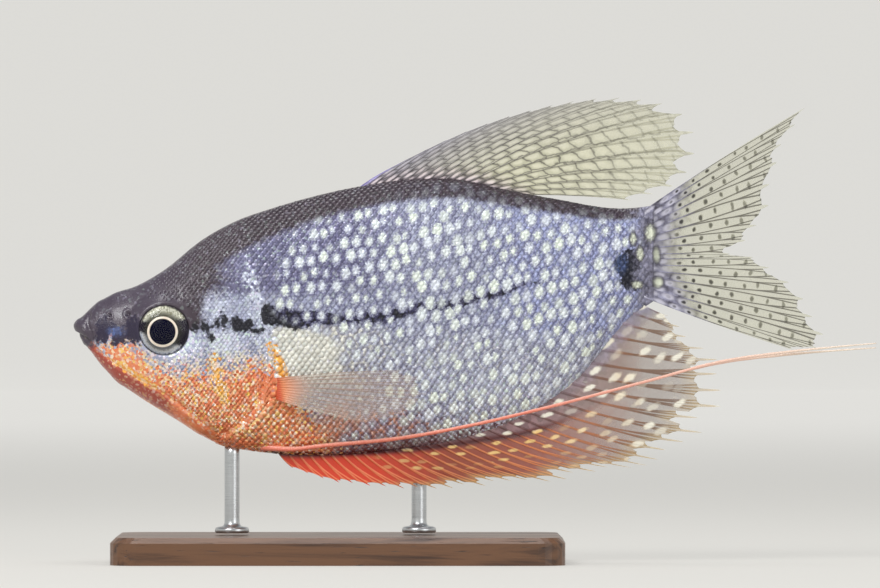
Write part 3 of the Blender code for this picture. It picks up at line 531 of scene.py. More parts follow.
def masks(x, z):
    """The pattern and the painted light at places in side view: named vectors of three masks each."""
    shape, (x, z) = np.shape(x), (np.ravel(x), np.ravel(z))
    along, up = percent_of(x, z)
    on_body = np.clip(along, SNOUT_END, TABLES_END)
    from_back, from_belly = height(BACK, on_body) - up, up - height(BELLY, on_body)
    band, rim = height(BACK_BAND, along), from_line(x, z, JAW_LINE)

    def oval(spot, start=1, end=0):
        """1 in the middle of an oval spot, 0 outside, or eased between two shares of its size."""
        (middle_x, middle_z), (wide, high) = spot
        away = np.hypot((along - middle_x) / wide, (up - middle_z) / high)
        return 1 - away if end == 0 else ease(away, start, end)

    def most(*parts):
        return np.maximum.reduce(parts)

    stripe = height(STRIPE_HALF, along) - np.abs(up - height(STRIPE, along))
    stripe = np.where((along > STRIPE_ENDS[0]) & (along < STRIPE_ENDS[1]), stripe, NO_STRIPE)
    blotches = [oval(spot) * min(spot[1]) for spot in BLOTCHES]
    m = {"dark": length(most(stripe, *blotches, *map(oval, SNOUT_SHADE)))}
    crown = ease(along, 33, 19) * ease(up + 0.16 * (along - 15) + 3.0 * ease(along, 15, 11), -0.9, 1.3)
    crown *= (0.35 + 0.65 * ease(along, 2.4, 4.6)) * (1 - 0.8 * ease(along, 20.5, 24) * ease(up, 8.5, 2.5))
    m["back"] = most(ease(from_back, 1.4 * band, 0.6 * band), crown)
    wine = 0.9 * ease(from_belly, 3.2, 0.6) * ease(along, 14, 19) * ease(along, 33, 28)
    m["mauve"] = most(ease(along, 36, 46) * ease(-up, 9, 19) * ease(along, 74, 54), wine)
    m["under"] = ease(height(UNDER_THREAD, along) - up, -0.2, 1) * ease(along, 41, 50) * ease(along, 96, 88)
    m["large"] = ease(along, 48, 62) * (0.6 + 0.4 * ease(-up, 3, 11))
    # Gold streaks, and a broad patch on the lower breast behind the pectoral fin: partly its own gold, partly
    # painted light that brightens a part facing down
    m["gold"] = most(*(bump(from_line(x, z, line), width) for line, width in GOLD_LINES),
                     0.3 * oval(GOLD_AND_PAINTED_LIGHT_PATCH, 1.3, 0.3))
    low = ease(along, 42, 54) * ease(-up, -4, 4) * ease(-up, 26, 18)
    silver = ease(along, 32, 37) * ease(along, 64, 44) * ease(-up, -1.5, 1.5) * ease(-up, 15, 6)
    m["silver"] = most(silver, 0.4 * low)
    m["blue"] = ease(along, 62, 88) * ease(up, -10, 4)
    m["slate"] = ease(along, 66, 40) * ease(up, 2, 9)
    m["pale"] = most(0.75 * bump(from_line(x, z, BEIGE_LINE), 1.8) * ease(along, 28, 31),
                     oval(BLUE_CHEEK, 1.4, 0.3), 0.6 * oval(PALE_NECK, 1.5, 0.2),
                     (0.45 + 0.6 * ease(-up, 6, 12)) * low * (1 - 0.8 * m["mauve"]))
    in_band = 0.12 * ease(along, 52, 62)
    pearls = ease(along - height(PEARLS_FROM, up), -0.6, 2.2) * (1 - oval(TAIL_SPOT, 1.05, 0.8))
    pearls *= in_band + (1 - in_band) * ease(from_back, 0.8 * band, 1.4 * band)
    pearls *= ease(from_back, 0.3, 1.6) * ease(along, 99.6, 98.6) * (0.4 + 0.6 * ease(from_belly, 0, 2.5))
    m["pearls"] = pearls * (1 - 0.7 * m["under"])
    m["coral"] = ease(rim, -0.3, 0.3) * ease(rim, 2.6, 1.5) * ease(along, 21, 13) * ease(along, 2.2, 3.2)
    knob = oval(FIN_KNOB, 1.3, 0.5)
    m["red"] = most(ease(height(RED_TOP, along) - up, -4.5, 5) * (1 - 0.95 * ease(along, 37, 58)), 0.9 * knob)
    head = ease(along, 60, 40) * (1 - 0.7 * m["silver"]) * ease(-up, -1, 2)
    # Where bright flecks are painted in as glints: most on the head and breast, least on the dark back
    painted_glints = most(head * (1 - 0.85 * most(m["coral"], knob)) * (1 - 0.7 * wine), m["pale"], 0.35 + 0 * up)
    m["painted_glints"] = painted_glints * (1 - 0.85 * m["back"]) * ease(along, 3.2, 4.6)
    m["gleam"] = most(oval(SNOUT_GLEAM, 1.3, 0.4), 0.8 * oval(TAIL_GLEAM, 1.3, 0.6))
    # The wine mask is the painted shadow of the pelvic thread
    m["wine"] = painted_thread_shadow_line(along, up)
    return {key: np.column_stack([m.get(word, 0 * up) for word in (*words, "", "")[:3]]).reshape(*shape, 3)
            for key, words in MASKS.items()}


# %% How far along and round the flank
arc = run_of(side, axis=1)
middle_z = SNOUT_Z + length(height(MIDDLE_LINE, ring_along))
middle_arc = np.array([np.interp(z, ring[:, 2], run) for z, ring, run in zip(middle_z, side, arc)])
girth = arc - middle_arc[:, None]
LONGEST_ARC = float(arc[:, -1].max())
side_flow = np.stack([side[..., 0] - SNOUT_X, girth, 0 * girth], axis=-1)
print(f"the flank measures {LONGEST_ARC:.1f} mm round from belly to back")

# %% [markdown]
# ## The skin's finish
# A gourami's skin is clear over shining guanine crystals, with black, violet and orange pigment between. The
# model's finish copies that as painted and clear-coated resin: a lilac-grey ground, the other tones laid over
# it where their masks say, a net of darker scale edges, fine bright flecks painted in as glints of light, the
# black stripe and, last, the pearls. A pearl is drawn from a jittered lattice at the real spacing of the pearls,
# as an upright oval with a ragged bright core and a thin dark ring.

# %% Pearls
PEARL_PITCH, PEARL_RISE = 1.9, 2.1
PEARL_WIDE, PEARL_HIGH = 0.66, 0.92
TAIL_PEARLS = [((100.3, 16.2), (1.1, 1.7)), ((97.3, 15.2), (0.65, 1.25)), ((98.5, 12.6), (0.75, 1.4)),
               ((101.4, 12.4), (0.7, 1.6)), ((98.0, 7.2), (1.1, 0.8)), ((101.7, 7.6), (1.0, 1.0))]


def stored(add, key):
    """The numbers that the mesh stores at its points under key, one by one."""
    return add("SeparateXYZ", add("Attribute", out="Vector", attribute_name=key)).node.outputs


def pearls(add, flow, ragged):
    """How far a place lies from the nearest pearl's middle, 1 at its edge, and that pearl's random colour."""
    v = add("Math DIVIDE", flow[1], PEARL_RISE)
    u = add("Math MULTIPLY_ADD", v, 0.5, add("Math DIVIDE", flow[0], PEARL_PITCH))
    cell = add("CombineXYZ", u, v)
    found = add("TexVoronoi", cell, Scale=1, Randomness=0.5, voronoi_dimensions="2D").node.outputs
    x, y, _ = add("SeparateXYZ", add("VectorMath SUBTRACT", cell, found["Position"])).node.outputs
    s = add("Math MULTIPLY", add("Math MULTIPLY_ADD", y, -0.5, x), PEARL_PITCH / PEARL_WIDE)
    reach = add("VectorMath LENGTH", add("CombineXYZ", s, add("Math MULTIPLY", y, PEARL_RISE / PEARL_HIGH)))
    rough = add("Math MULTIPLY_ADD", ragged, 1.5, reach)
    return add("Math ADD", rough, -0.75), found["Color"]


def tail_pearls(add, at, ragged):
    """How far a place lies from the nearest of the large pearls on the root of the tail, 1 at its edge."""
    nearest = None
    for spot, size in TAIL_PEARLS:
        (x, z), (wide, high) = placed(spot), 1 / length(size)
        away = add("VectorMath MULTIPLY", add("VectorMath SUBTRACT", at, (x, 0, z)), (wide, 0, high))
        away = add("VectorMath LENGTH", away)
        nearest = add("Math MINIMUM", nearest, away) if nearest else away
    return add("Math MULTIPLY_ADD", ragged, 0.8, nearest)


def sheath(add, at):
    """The mottled dark hide that covers the root of the tail fin, and the noise that mottles it."""
    mottle = add("TexNoise", at, Scale=0.75, Detail=4, Roughness=0.65)
    return add("Mix RGBA", add("MapRange", mottle, 0.34, 0.68), "#3d3949", "#a09fb8"), mottle


def lay_tail_pearls(add, at, ground, ragged):
    """The colour with the large cream pearls of the tail's root laid over it, each in a dark ring."""
    away = tail_pearls(add, at, ragged)
    return lay(add, ground, (add("MapRange SMOOTHSTEP", away, 1.85, 1.3, 0, 0.8), "#3c3845"),
               (add("MapRange SMOOTHSTEP", away, 1.5, 0.65, 0, 0.9), "#dfe4cf"))


# %% Clear-coated fish skin
# In the order in which they are laid. Red and back are mixed from two tones each, in the shader
# wine is the colour of the painted shadow that the pelvic thread casts along the root of the anal fin
TONES = {"silver": "#e6e5db", "blue": "#a8b0da", "mauve": "#d39c86", "slate": "#6f6e8f", "pale": "#ced3e6",
         "red": None, "coral": "#a84a3a", "under": "#7f5d60", "gold": "#f6b04c", "back": None,
         "wine": "#4c1a20"}
SKIN_GRAIN, FLECK_GRAIN, STRIPE_GRAIN, STAR_GRAIN, RIPPLE_GRAIN = 1.6, 0.38, 0.55, 0.26, 0.3
SPECKLED = ("red", "pale", "gold")


def skin_finish(name, relief_bump):
    """Skin and scales share this finish, so that no edge shows where the scales end."""
    material, add = new_material(name)
    at, flow = in_millimetres(add), stored(add, "flow")
    mask = {word: number for key, words in {**MASKS, "scale": ("rim", "random")}.items()
            for word, number in zip(words, stored(add, key))}
    grain = add("TexNoise", at, Scale=1 / SKIN_GRAIN, Detail=3)
    fine = add("TexNoise", at, Scale=1 / STRIPE_GRAIN, Detail=2)
    stars = add("TexNoise", at, Scale=1 / STAR_GRAIN, Detail=1)
    flecks = add("TexVoronoi", at, out="Color", Scale=1 / FLECK_GRAIN)
    fleck, luck, hue = add("SeparateColor", flecks).node.outputs
    ground = add("Mix RGBA", grain, "#8a8eac", "#bec3d9")
    tones = {**TONES, "red": add("Mix RGBA", grain, "#df5c3d", "#f9a56e"),
             "back": add("Mix RGBA", add("MapRange", flow[0], 12, 19), "#463c4a", "#3a2c37")}
    for word, tone in tones.items():
        uneven = add("Math MULTIPLY_ADD", fleck if word in SPECKLED else fine, 0.7, mask[word])
        share = add("MapRange SMOOTHSTEP", uneven, *((0.74, 1.1) if word in SPECKLED else (0.5, 1.15)))
        ground = lay(add, ground, (share, tone))

    # Every scale differs a little, and is darker along its free edge, which draws the net
    ground = add("VectorMath SCALE", ground, add("MapRange", mask["random"], 0, 1, 0.82, 1.18))
    plain = add("Math MAXIMUM", mask["silver"], mask["red"])
    edge = add("MapRange SMOOTHSTEP", mask["rim"], 0.55, 1, 0, 0.5)
    edge = add("Math MULTIPLY", edge, add("MapRange", plain, 0, 1, 1, 0.25))
    ground = lay(add, ground, (edge, add("Mix RGBA", 0.6, ground, "#3d3a58", blend_type="MULTIPLY")))

    # Bright flecks are painted in as glints: gold and white in the red, and white, green or violet elsewhere
    lucky = add("MapRange", add("Math MULTIPLY_ADD", mask["painted_glints"], 0.42, luck), 0.82, 1.22)
    glint_share = add("Math MULTIPLY", lucky, add("MapRange", mask["painted_glints"], 0, 1, 0.25, 0.95))
    cool, warm = add("Mix RGBA", hue, "#d9f0e4", "#dcd3f0"), add("Mix RGBA", hue, "#fbc95a", "#fff0e4")
    near_red = add("Math MULTIPLY", mask["red"], 1.6, use_clamp=True)
    ground = lay(add, ground, (glint_share, add("Mix RGBA", near_red, cool, warm)))

    # The stripe's edge is ragged, and the pearls lie over it
    black = add("MapRange SMOOTHSTEP", total(add, mask["dark"], (fine, 1.5), (grain, 1.3)), 1.22, 1.62, 0, 0.97)
    lit = add("Math MULTIPLY", mask["gleam"], add("MapRange", fleck, 0.2, 1, 0.15, 0.8))
    ink = add("Mix RGBA", add("MapRange", flow[0], 13, 10), "#0c0a17", "#251d38")
    ground = lay(add, ground, (black, lay(add, ink, (lit, "#6078b4"))))
    away, random = pearls(add, flow, stars)
    large, strong, cold = add("SeparateColor", random).node.outputs
    away = add("Math ADD", away, add("MapRange", large, 0, 1, 0.26, -0.26))
    away = total(add, away, (mask["large"], -0.3))
    held = add("Math MULTIPLY", add("MapRange", strong, 0, 0.4, 0.5, 1), mask["pearls"])
    for span, tone in (((1.85, 1.3, 0, 0.6), "#55527c"), ((1.25, 0.9, 0, 0.6), "#b4b8cf"),
                       ((0.95, 0.2), add("Mix RGBA", cold, "#f2fbef", "#e9effa"))):
        near = add("Math MULTIPLY", add("MapRange SMOOTHSTEP", away, *span), held)
        ground = lay(add, ground, (near, tone))
    hide, mottle = sheath(add, at)
    rooted = add("MapRange SMOOTHSTEP", total(add, flow[0], (mottle, 5)), 83.9, 85.9)
    ground = lay_tail_pearls(add, at, lay(add, ground, (rooted, hide)), stars)

    ripples = add("TexNoise", at, Scale=1 / RIPPLE_GRAIN, Detail=2)
    surface = add("BsdfPrincipled", Base_Color=ground, Roughness=add("MapRange", luck, 0, 1, 0.46, 0.26),
                  Metallic=add("MapRange", mask["back"], 0, 1, 0.3, 0.05), Coat_Roughness=0.14,
                  Normal=add("Bump", Height=ripples, Strength=relief_bump, Distance=0.0001),
                  Coat_Weight=add("MapRange", black, 0, 1, 0.35, 0.08))
    add("OutputMaterial", surface)
    return material


skin_material = skin_finish("clear_coated_fish_skin", 0.5)
scale_material = skin_finish("clear_coated_fish_scale", 0.2)

# %% [markdown]
# ## The skin
# One closed skin stands for the head, jaw, gill covers, trunk and tail stalk, so no seam of the solids shows.
# The right side mirrors the left. Its map is an unwrap of its own shape: along the fish one way, and the way
# round from the line of the back the other.

# %% Skin
FLESH = ["head", "lower_jaw", "trunk", "tail_stalk", "gill_cover_left", "gill_cover_right"]
MAP_EDGE = 0.02


def whole_ring(values, mirrored=(1, 1, 1)):
    """One side's columns from belly to back, then the other side's back down, with mirrored signs."""
    return np.concatenate([values, values[:, -2:0:-1] * np.array(mirrored)], axis=1)


def map_places(x, girth_from_back, sign):
    """Places on the skin's map of points x mm along and so far from the line of the back, 0 to 1 across."""
    u = MAP_EDGE + (1 - 2 * MAP_EDGE) * (x - SNOUT_X) / length(BODY_END)
    v = 0.5 + sign * (0.5 - MAP_EDGE) * girth_from_back / LONGEST_ARC
    return np.stack([u, v], axis=-1)


# The first ring is one point, the tip of the snout, and a last point closes the tail
skin_points = whole_ring(skin_side, (1, -1, 1))
rings, columns = skin_points.shape[:2]
fields = {key: whole_ring(value) for key, value in masks(side[..., 0], side[..., 2]).items()}
fields.update(flow=whole_ring(side_flow), scale=np.zeros_like(skin_points) + (0, 0.5, 0))
from_top = arc[:, -1:] - arc
unrolled = np.concatenate([map_places(side[..., 0], from_top, -1),
                           map_places(side[:, -2:0:-1, 0], from_top[:, -2:0:-1], 1)], axis=1)


def as_points(values, last):
    """Rows of values at the skin's points, with that of the closing point."""
    return np.vstack([values[:1, 0], values[1:].reshape(-1, values.shape[-1]), last])


end = (rings - 1) * columns + 1
faces = np.vstack([lattice(rings - 1, columns, True) + 1, fan(np.arange(end - columns, end)[::-1], end),
                   fan(np.arange(1, columns + 1), 0)])
new_piece("skin", as_points(skin_points, skin_points[-1].mean(axis=0)), faces, skin_material, "skin", FLESH,
          {key: as_points(value, value[-1, 0]) for key, value in fields.items()},
          as_points(unrolled, unrolled[-1].mean(axis=0)))

# %% [markdown]
# ## The scales
# A gourami's scales are thin plates with their front edge rooted in the skin and their round rear edge free,
# each lapping over the next ones like roof tiles. Here each scale is a small closed plate of edge points round
# a middle. Thousands of them are laid in staggered rows by numpy and joined into a few meshes. The side of the
# body is first read into a regular grid of places along and round the flank, so that each point of each scale
# can be put on the curved skin exactly.

# %% The flank as a regular grid
GRID_STEP, GRID_REACH = 0.25, 30.0
OVER_RIDGE = 10


def over_edges(grid):
    """The side's rings, carried on a little over belly and back to the other side."""
    return np.concatenate([grid[:, OVER_RIDGE:0:-1] * (1, -1, 1), grid,
                           grid[:, -2:-2 - OVER_RIDGE:-1] * (1, -1, 1)], axis=1)


# Points, normals and limits on steps along, and round from the middle line
wide, run = over_edges(skin_side), run_of(over_edges(side), axis=1)
run -= run[:, OVER_RIDGE:OVER_RIDGE + 1] + middle_arc[:, None]
grid_x = np.arange(0.5, length(BODY_END), GRID_STEP)
grid_t = np.arange(-GRID_REACH, GRID_REACH, GRID_STEP)
ring = np.interp(grid_x, side[:, 0, 0] - SNOUT_X, np.arange(rings))
grid_points, grid_held, grid_limits = [], [], []
for i, share in zip(np.minimum(ring.astype(int), rings - 2), ring):
    share = share - i
    ring_points, ring_run = (rows[i] * (1 - share) + rows[i + 1] * share for rows in (wide, run))
    grid_points.append(np.column_stack([np.interp(grid_t, ring_run, values) for values in ring_points.T]))
    grid_held.append((grid_t > ring_run[0]) & (grid_t < ring_run[-1]))
    grid_limits.append((ring_run[OVER_RIDGE], ring_run[-1 - OVER_RIDGE]))
grid_points, grid_held, grid_limits = map(np.array, (grid_points, grid_held, grid_limits))
grid_normals = np.cross(np.gradient(grid_points, axis=1), np.gradient(grid_points, axis=0))
grid_normals /= np.maximum(np.linalg.norm(grid_normals, axis=-1, keepdims=True), 1e-9)
print(f"{len(grid_x)} by {len(grid_t)} places on the flank")


def on_flank(s, t):
    """Points and normals of the side at places s along and t round, and whether the skin is there."""
    i, j = (np.clip((at - grid[0]) / GRID_STEP, 0, len(grid) - 1.001)
            for at, grid in ((s, grid_x), (t, grid_t)))
    a, b = i.astype(int), j.astype(int)
    i, j = (i - a)[..., None], (j - b)[..., None]

    def between(values):
        return ((values[a, b] * (1 - j) + values[a, b + 1] * j) * (1 - i)
                + (values[a + 1, b] * (1 - j) + values[a + 1, b + 1] * j) * i)

    held = grid_held[a, b] & grid_held[a + 1, b] & grid_held[a, b + 1] & grid_held[a + 1, b + 1]
    normal = between(grid_normals)
    return between(grid_points), normal / np.linalg.norm(normal, axis=-1, keepdims=True), held


# %% One scale
SCALE_THICK, SCALE_ROOT, SCALE_UNEVEN = 0.055, 0.045, 0.03
EDGE_TURNS = np.radians([0, 34, 66, 98, 128, 165, 195, 232, 262, 294, 326])
EDGE_COUNT = len(EDGE_TURNS)
SCALE_FORWARD, SCALE_ACROSS = np.append(np.cos(EDGE_TURNS), 0.12), np.append(np.sin(EDGE_TURNS), 0.0)
UPPER, UNDER = EDGE_COUNT, 2 * EDGE_COUNT + 1
over = np.arange(EDGE_COUNT)
over_next, below, below_next = np.roll(over, -1), over + UPPER + 1, np.roll(over, -1) + UPPER + 1
SCALE_FACES = np.vstack([np.column_stack([over, over_next, 0 * over + UPPER]),
                         np.column_stack([below_next, below, 0 * over + UNDER]),
                         np.column_stack([below, below_next, over_next]),
                         np.column_stack([below, over_next, over])])
MAP_SCALE = 0.0015


def lay_scales(name, spots, sizes, lift, seed, sign):
    """Joined scales on one side. spots are places along and round, sizes each one's length and half height."""
    draw = np.random.default_rng(seed)
    random, free = draw.random((len(spots), 1)), 0.5 + 0.5 * SCALE_FORWARD
    s = spots[:, :1] + (SCALE_FORWARD + 1) * sizes[:, :1] / 2
    t = spots[:, 1:] + SCALE_ACROSS * sizes[:, 1:]
    points, normals, held = on_flank(s, t)
    kept = held.all(axis=1)
    rise = lift[:, None] * (free + (1 - np.abs(SCALE_ACROSS)) / 4) - SCALE_ROOT
    tilt, lean = SCALE_UNEVEN * (draw.random((2, len(spots), 1)) - 0.5)
    rise += tilt * SCALE_ACROSS + lean * free

    def listed(upper, under=None):
        """Values at the points of the scales that lie on the skin: upper faces' first, then under faces'."""
        return np.concatenate([upper, upper if under is None else under], 1)[kept].reshape(-1, upper.shape[-1])

    solid = listed(points + normals * rise[..., None], points + normals * (rise - SCALE_THICK)[..., None])
    rim = np.append(np.ones(EDGE_COUNT), 0.0)
    fields = masks(points[..., 0], points[..., 2])
    fields.update(flow=np.stack([s, t, 0 * s], -1), scale=np.stack([rim + 0 * s, random + 0 * s, 0 * s], -1))
    top_limit = np.interp(spots[:, 0], grid_x, grid_limits[:, 1])
    root = map_places(spots[:, 0] + SNOUT_X, top_limit - spots[:, 1], sign)
    plate = MAP_SCALE * np.column_stack([SCALE_FORWARD, SCALE_ACROSS])
    plate[-1] = 0.0
    faces = SCALE_FACES + np.arange(kept.sum())[:, None, None] * (UNDER + 1)
    new_piece(name, solid * (1, sign, 1), faces.reshape(-1, 3), scale_material, "skin", (),
              {key: listed(value) for key, value in fields.items()}, listed(root[:, None] + plate))


# %% [markdown]
# The rows run with the flank's middle line, and every second row is set back by half a scale. Scales on the
# trunk are about 0.9 mm apart, those of the head and breast finer. None grow on the lips, the bare rim of the
# jaw, the nostrils and the eye, and they shrink towards the snout.

# %% Rows of scales
FLANK_ROWS, HEAD_ROWS = (0.92, 0.60), (0.66, 0.44)
ROWS_FROM, ROWS_REACH, ROWS_UNEVEN, BARE_EDGE = 1.0, 29.0, (0.05, 0.04), 0.05
FLANK_PARTED, SCALES_END = 58.0, 98.8
SCALE_LAP = np.array([1.62, 1.12])
GILL_CURVE = [(-24, 26), (-18.9, 27), (-16.4, 30.4), (-13, 32.7), (-9.2, 33.7), (-4.6, 34), (-1.2, 33.5),
              (2.6, 32.6), (5.6, 31), (10, 29.5), (20, 27)]


def rows_of(pitch, rise, seed):
    """Staggered places along and round the whole side, a little uneven, and where they are in side view."""
    draw = np.random.default_rng(seed)
    s, t = np.meshgrid(np.arange(ROWS_FROM, length(BODY_END) - pitch, pitch),
                       np.arange(-ROWS_REACH, ROWS_REACH, rise), indexing="ij")
    s = s + pitch / 2 * (np.round(t / rise).astype(int) % 2)
    spots = np.stack([s, t], axis=-1).reshape(-1, 2)
    spots += draw.normal(0, 1, spots.shape) * np.multiply(ROWS_UNEVEN, (pitch, rise))
    low, high = (np.interp(spots[:, 0], grid_x, limit) for limit in grid_limits.T)
    spots = spots[(spots[:, 1] > low + BARE_EDGE) & (spots[:, 1] < high - BARE_EDGE)]
    points = on_flank(spots[:, 0], spots[:, 1])[0]
    return spots, points[:, 0], points[:, 2]


for sign, word in ((-1, "left"), (1, "right")):
    for part, start, stop in (("1", 0, FLANK_PARTED), ("2", FLANK_PARTED, SCALES_END), ("head", 0, TABLES_END)):
        spots, x, z = rows_of(*HEAD_ROWS, 5) if part == "head" else rows_of(*FLANK_ROWS, 3)
        along, up = percent_of(x, z)
        behind = length(along - height(GILL_CURVE, up))
        if part == "head":
            on_rim = (from_line(x, z, JAW_LINE) > -0.25) & (along < 24)
            snout = (along < 6.5) | ((along < 12.5) & (up > -2.8))
            near_eye = np.hypot(x - EYE_X, z - EYE_Z) <= EYE_SHOWN + 0.75
            chosen = (behind < 0.0) & ~near_eye & ~on_rim & ~snout
            grow = 0.55 + 0.45 * ease(along, 6, 24)
            sizes, lift, seed = SCALE_LAP * HEAD_ROWS * grow[:, None], 0.07 * grow, 21
        else:
            chosen = (behind > 0.15) & (along >= start) & (along < stop)
            grow = 1 - 0.22 * ease(along, 84, 99)
            sizes = SCALE_LAP * FLANK_ROWS * np.column_stack([grow, 1 + 0 * grow])
            lift, seed = 0.095 * grow, 10 + int(part)
        lay_scales(f"scales_{word}_{part}", spots[chosen], sizes[chosen], lift[chosen], seed, sign)

# %% [markdown]
# ## The eyes
# The eye is the part that everyone looks at first. A fish's eye is nearly flat, with a round lens that stands
# out through the iris, and a clear cornea over both. The iris is a shallow dish turned on a lathe, with a thin
# raised ring round the pupil. It is bright cream above, silver grey below, and crossed by a dark band in line
# with the stripe of the head. The cornea is a separate clear dome, so that it carries the gloss.

# %% Painted iris under a clear dome
EYE_PROUD, EYE_DEEP, EYE_SIZE = 0.9, 1.7, 4.1
PUPIL, PUPIL_MIDDLE, BRIGHT_RIM = 1.84, (-0.2, -0.24), 3.0
EYE_SIDES, IRIS_RINGS, DOME_RINGS, CORNEA_THICK = 96, 44, 16, 0.12
IRIS_PROFILE = [(0.0, 0.50), (0.5, 0.485), (1.0, 0.43), (1.4, 0.34), (1.7, 0.25), (PUPIL, 0.20), (1.9, 0.27),
                (1.98, 0.31), (2.06, 0.29), (2.16, 0.22), (2.4, 0.22), (2.8, 0.17), (3.2, 0.09), (3.45, 0.0),
                (3.58, -0.12), (3.68, -0.35), (3.6, -0.8), (2.0, -0.9), (0.0, -0.9)]
IRIS_REAR = IRIS_PROFILE[15:]


def iris_paint():
    """Enamel on the iris: what lies at each distance from the pupil, and at each angle round it."""
    material, add = new_material("enamelled_iris")
    at = in_millimetres(add)
    to_eye = add("VectorMath SUBTRACT", at, (EYE_X, 0, EYE_Z))
    to_pupil = add("VectorMath SUBTRACT", to_eye, (PUPIL_MIDDLE[0], 0, PUPIL_MIDDLE[1]))
    flat_eye, flat_pupil = (add("VectorMath MULTIPLY", way, (1, 0, 1)) for way in (to_eye, to_pupil))
    out, near = (add("VectorMath LENGTH", way) for way in (flat_eye, flat_pupil))
    x, _, z = add("SeparateXYZ", flat_eye).node.outputs
    soft, streaks = (add("TexNoise", at, Scale=scale, Detail=3) for scale in (1.6, 4.5))
    mottle = add("MapRange", streaks, 0.36, 0.64)
    up = add("MapRange SMOOTHSTEP", total(add, z, (soft, 1.1)), -0.4, 2.2)
    silver = add("Mix RGBA", mottle, "#8b96ac", "#eef2fb")
    cream = add("Mix RGBA", mottle, "#77765a", "#eeeedd")
    rim = add("Math ABSOLUTE", add("Math SUBTRACT", out, BRIGHT_RIM))
    rim = add("MapRange SMOOTHSTEP", rim, 0.4, 0.08, 0, 0.6)
    rim = add("Math MULTIPLY", rim, add("MapRange", up, 0, 1, 1, 0.2))
    level = add("Math ABSOLUTE", add("Math MULTIPLY_ADD", x, 0.14, z))
    band = add("Math SUBTRACT", level, add("Math MULTIPLY_ADD", x, 0.2, 1.5))
    dark = add("MapRange SMOOTHSTEP", total(add, band, (streaks, 0.9)), 0.75, 0.1)
    halo = add("MapRange SMOOTHSTEP", total(add, near, (streaks, -1.3)), 2.6, 1.7)
    pupil = add("MapRange", near, PUPIL + 0.1, PUPIL + 0.02)
    colour = lay(add, silver, (up, cream), (rim, "#f1f0ee"), (dark, "#221c2c"),
                 (add("Math MULTIPLY", halo, 0.85), "#34342f"),
                 (add("MapRange", near, 2.28, 2.2), add("Mix RGBA", soft, "#fffaf0", "#f0d8c0")),
                 (pupil, "#05061f"),
                 (add("MapRange SMOOTHSTEP", total(add, out, (soft, 0.5)), 3.55, 3.95), "#4a4650"))
    metal = add("Math MULTIPLY_ADD", pupil, -1, add("MapRange", dark, 0, 1, 0.12, 0), use_clamp=True)
    surface = add("BsdfPrincipled", Base_Color=colour, Roughness=add("MapRange", pupil, 0, 1, 0.34, 0.12),
                  Metallic=metal, Normal=add("Bump", Height=streaks, Strength=0.3, Distance=0.00005),
                  Specular_IOR_Level=0.05)
    add("OutputMaterial", surface)
    return material


def cornea_glass():
    """Clear cast resin: the light goes through, and Fresnel gives the gloss at its edge."""
    material, add = new_material("clear_cast_resin")
    gloss = add("BsdfGlossy", Color="#ffffff", Roughness=0.06)
    clear = add("BsdfTransparent", Color="#ffffff")
    add("OutputMaterial", add("MixShader", add("Fresnel", IOR=1.18), clear, gloss))
    return material


def eye_form(name, side, profile, middles, material, replaced=()):
    """A closed form turned about the eye's axis from radius and height, each ring with its own middle."""
    rings = turned(profile, np.array(middles) + (EYE_X, EYE_Z), EYE_SIDES)[..., [0, 2, 1]] * (1, side, 1)
    rings[..., 1] += side * EYE_LEVEL
    ends = np.array([rings[0].mean(axis=0), rings[-1].mean(axis=0)])
    new_piece(name, *capped(rings[1:-1], ends), material, "eye", replaced)


iris, cornea = iris_paint(), cornea_glass()
fine_profile = [IRIS_PROFILE[0], *evenly(IRIS_PROFILE[:15], np.linspace(0.02, 1, IRIS_RINGS)), *IRIS_REAR]
to_pupil = [ease(radius, 3.2, 2.2) for radius, _ in fine_profile[:IRIS_RINGS + 1]] + [0.0] * len(IRIS_REAR)
dome = [(EYE_SIZE * math.sin(a), EYE_PROUD - EYE_DEEP + EYE_DEEP * math.cos(a))
        for a in np.linspace(0, math.radians(66), DOME_RINGS)]
inner = [(radius * 0.965, up - CORNEA_THICK) for radius, up in dome[::-1]]
dome += [(dome[-1][0] - 0.12, dome[-1][1] - 0.02)]
for side_sign, word in ((-1, "left"), (1, "right")):
    eye_form(f"iris_{word}", side_sign, fine_profile, np.outer(to_pupil, PUPIL_MIDDLE), iris, [f"eye_{word}"])
    eye_form(f"cornea_{word}", side_sign, dome + inner[1:], np.zeros((2 * DOME_RINGS, 2)), cornea)

# %% [markdown]
# ## The fins
# A fin is a membrane stretched over rays. Each ray here is a curve from its root in the body to its tip, and
# the membrane is a fine sheet through all of them: thicker along each ray and along the branches that it
# splits into, with a hollowed margin between the rays and their free ends running out as fine threads. Both
# faces are meshed alike, so each fin is one closed, very thin solid, rooted in the skin.

# %% A fin from its rays
COLUMNS_A_RAY, FREE_ROWS = 10, 7
SHORTEST_RAY, LONGEST_WEB, WEB_UNEVEN = 0.9, 0.97, 0.012
SHEET_MAP_EDGE, SHEET_MAP_SIZE, FAR_SIDE_MAP = 0.02, (0.96, 0.44), (0.0, 0.5)


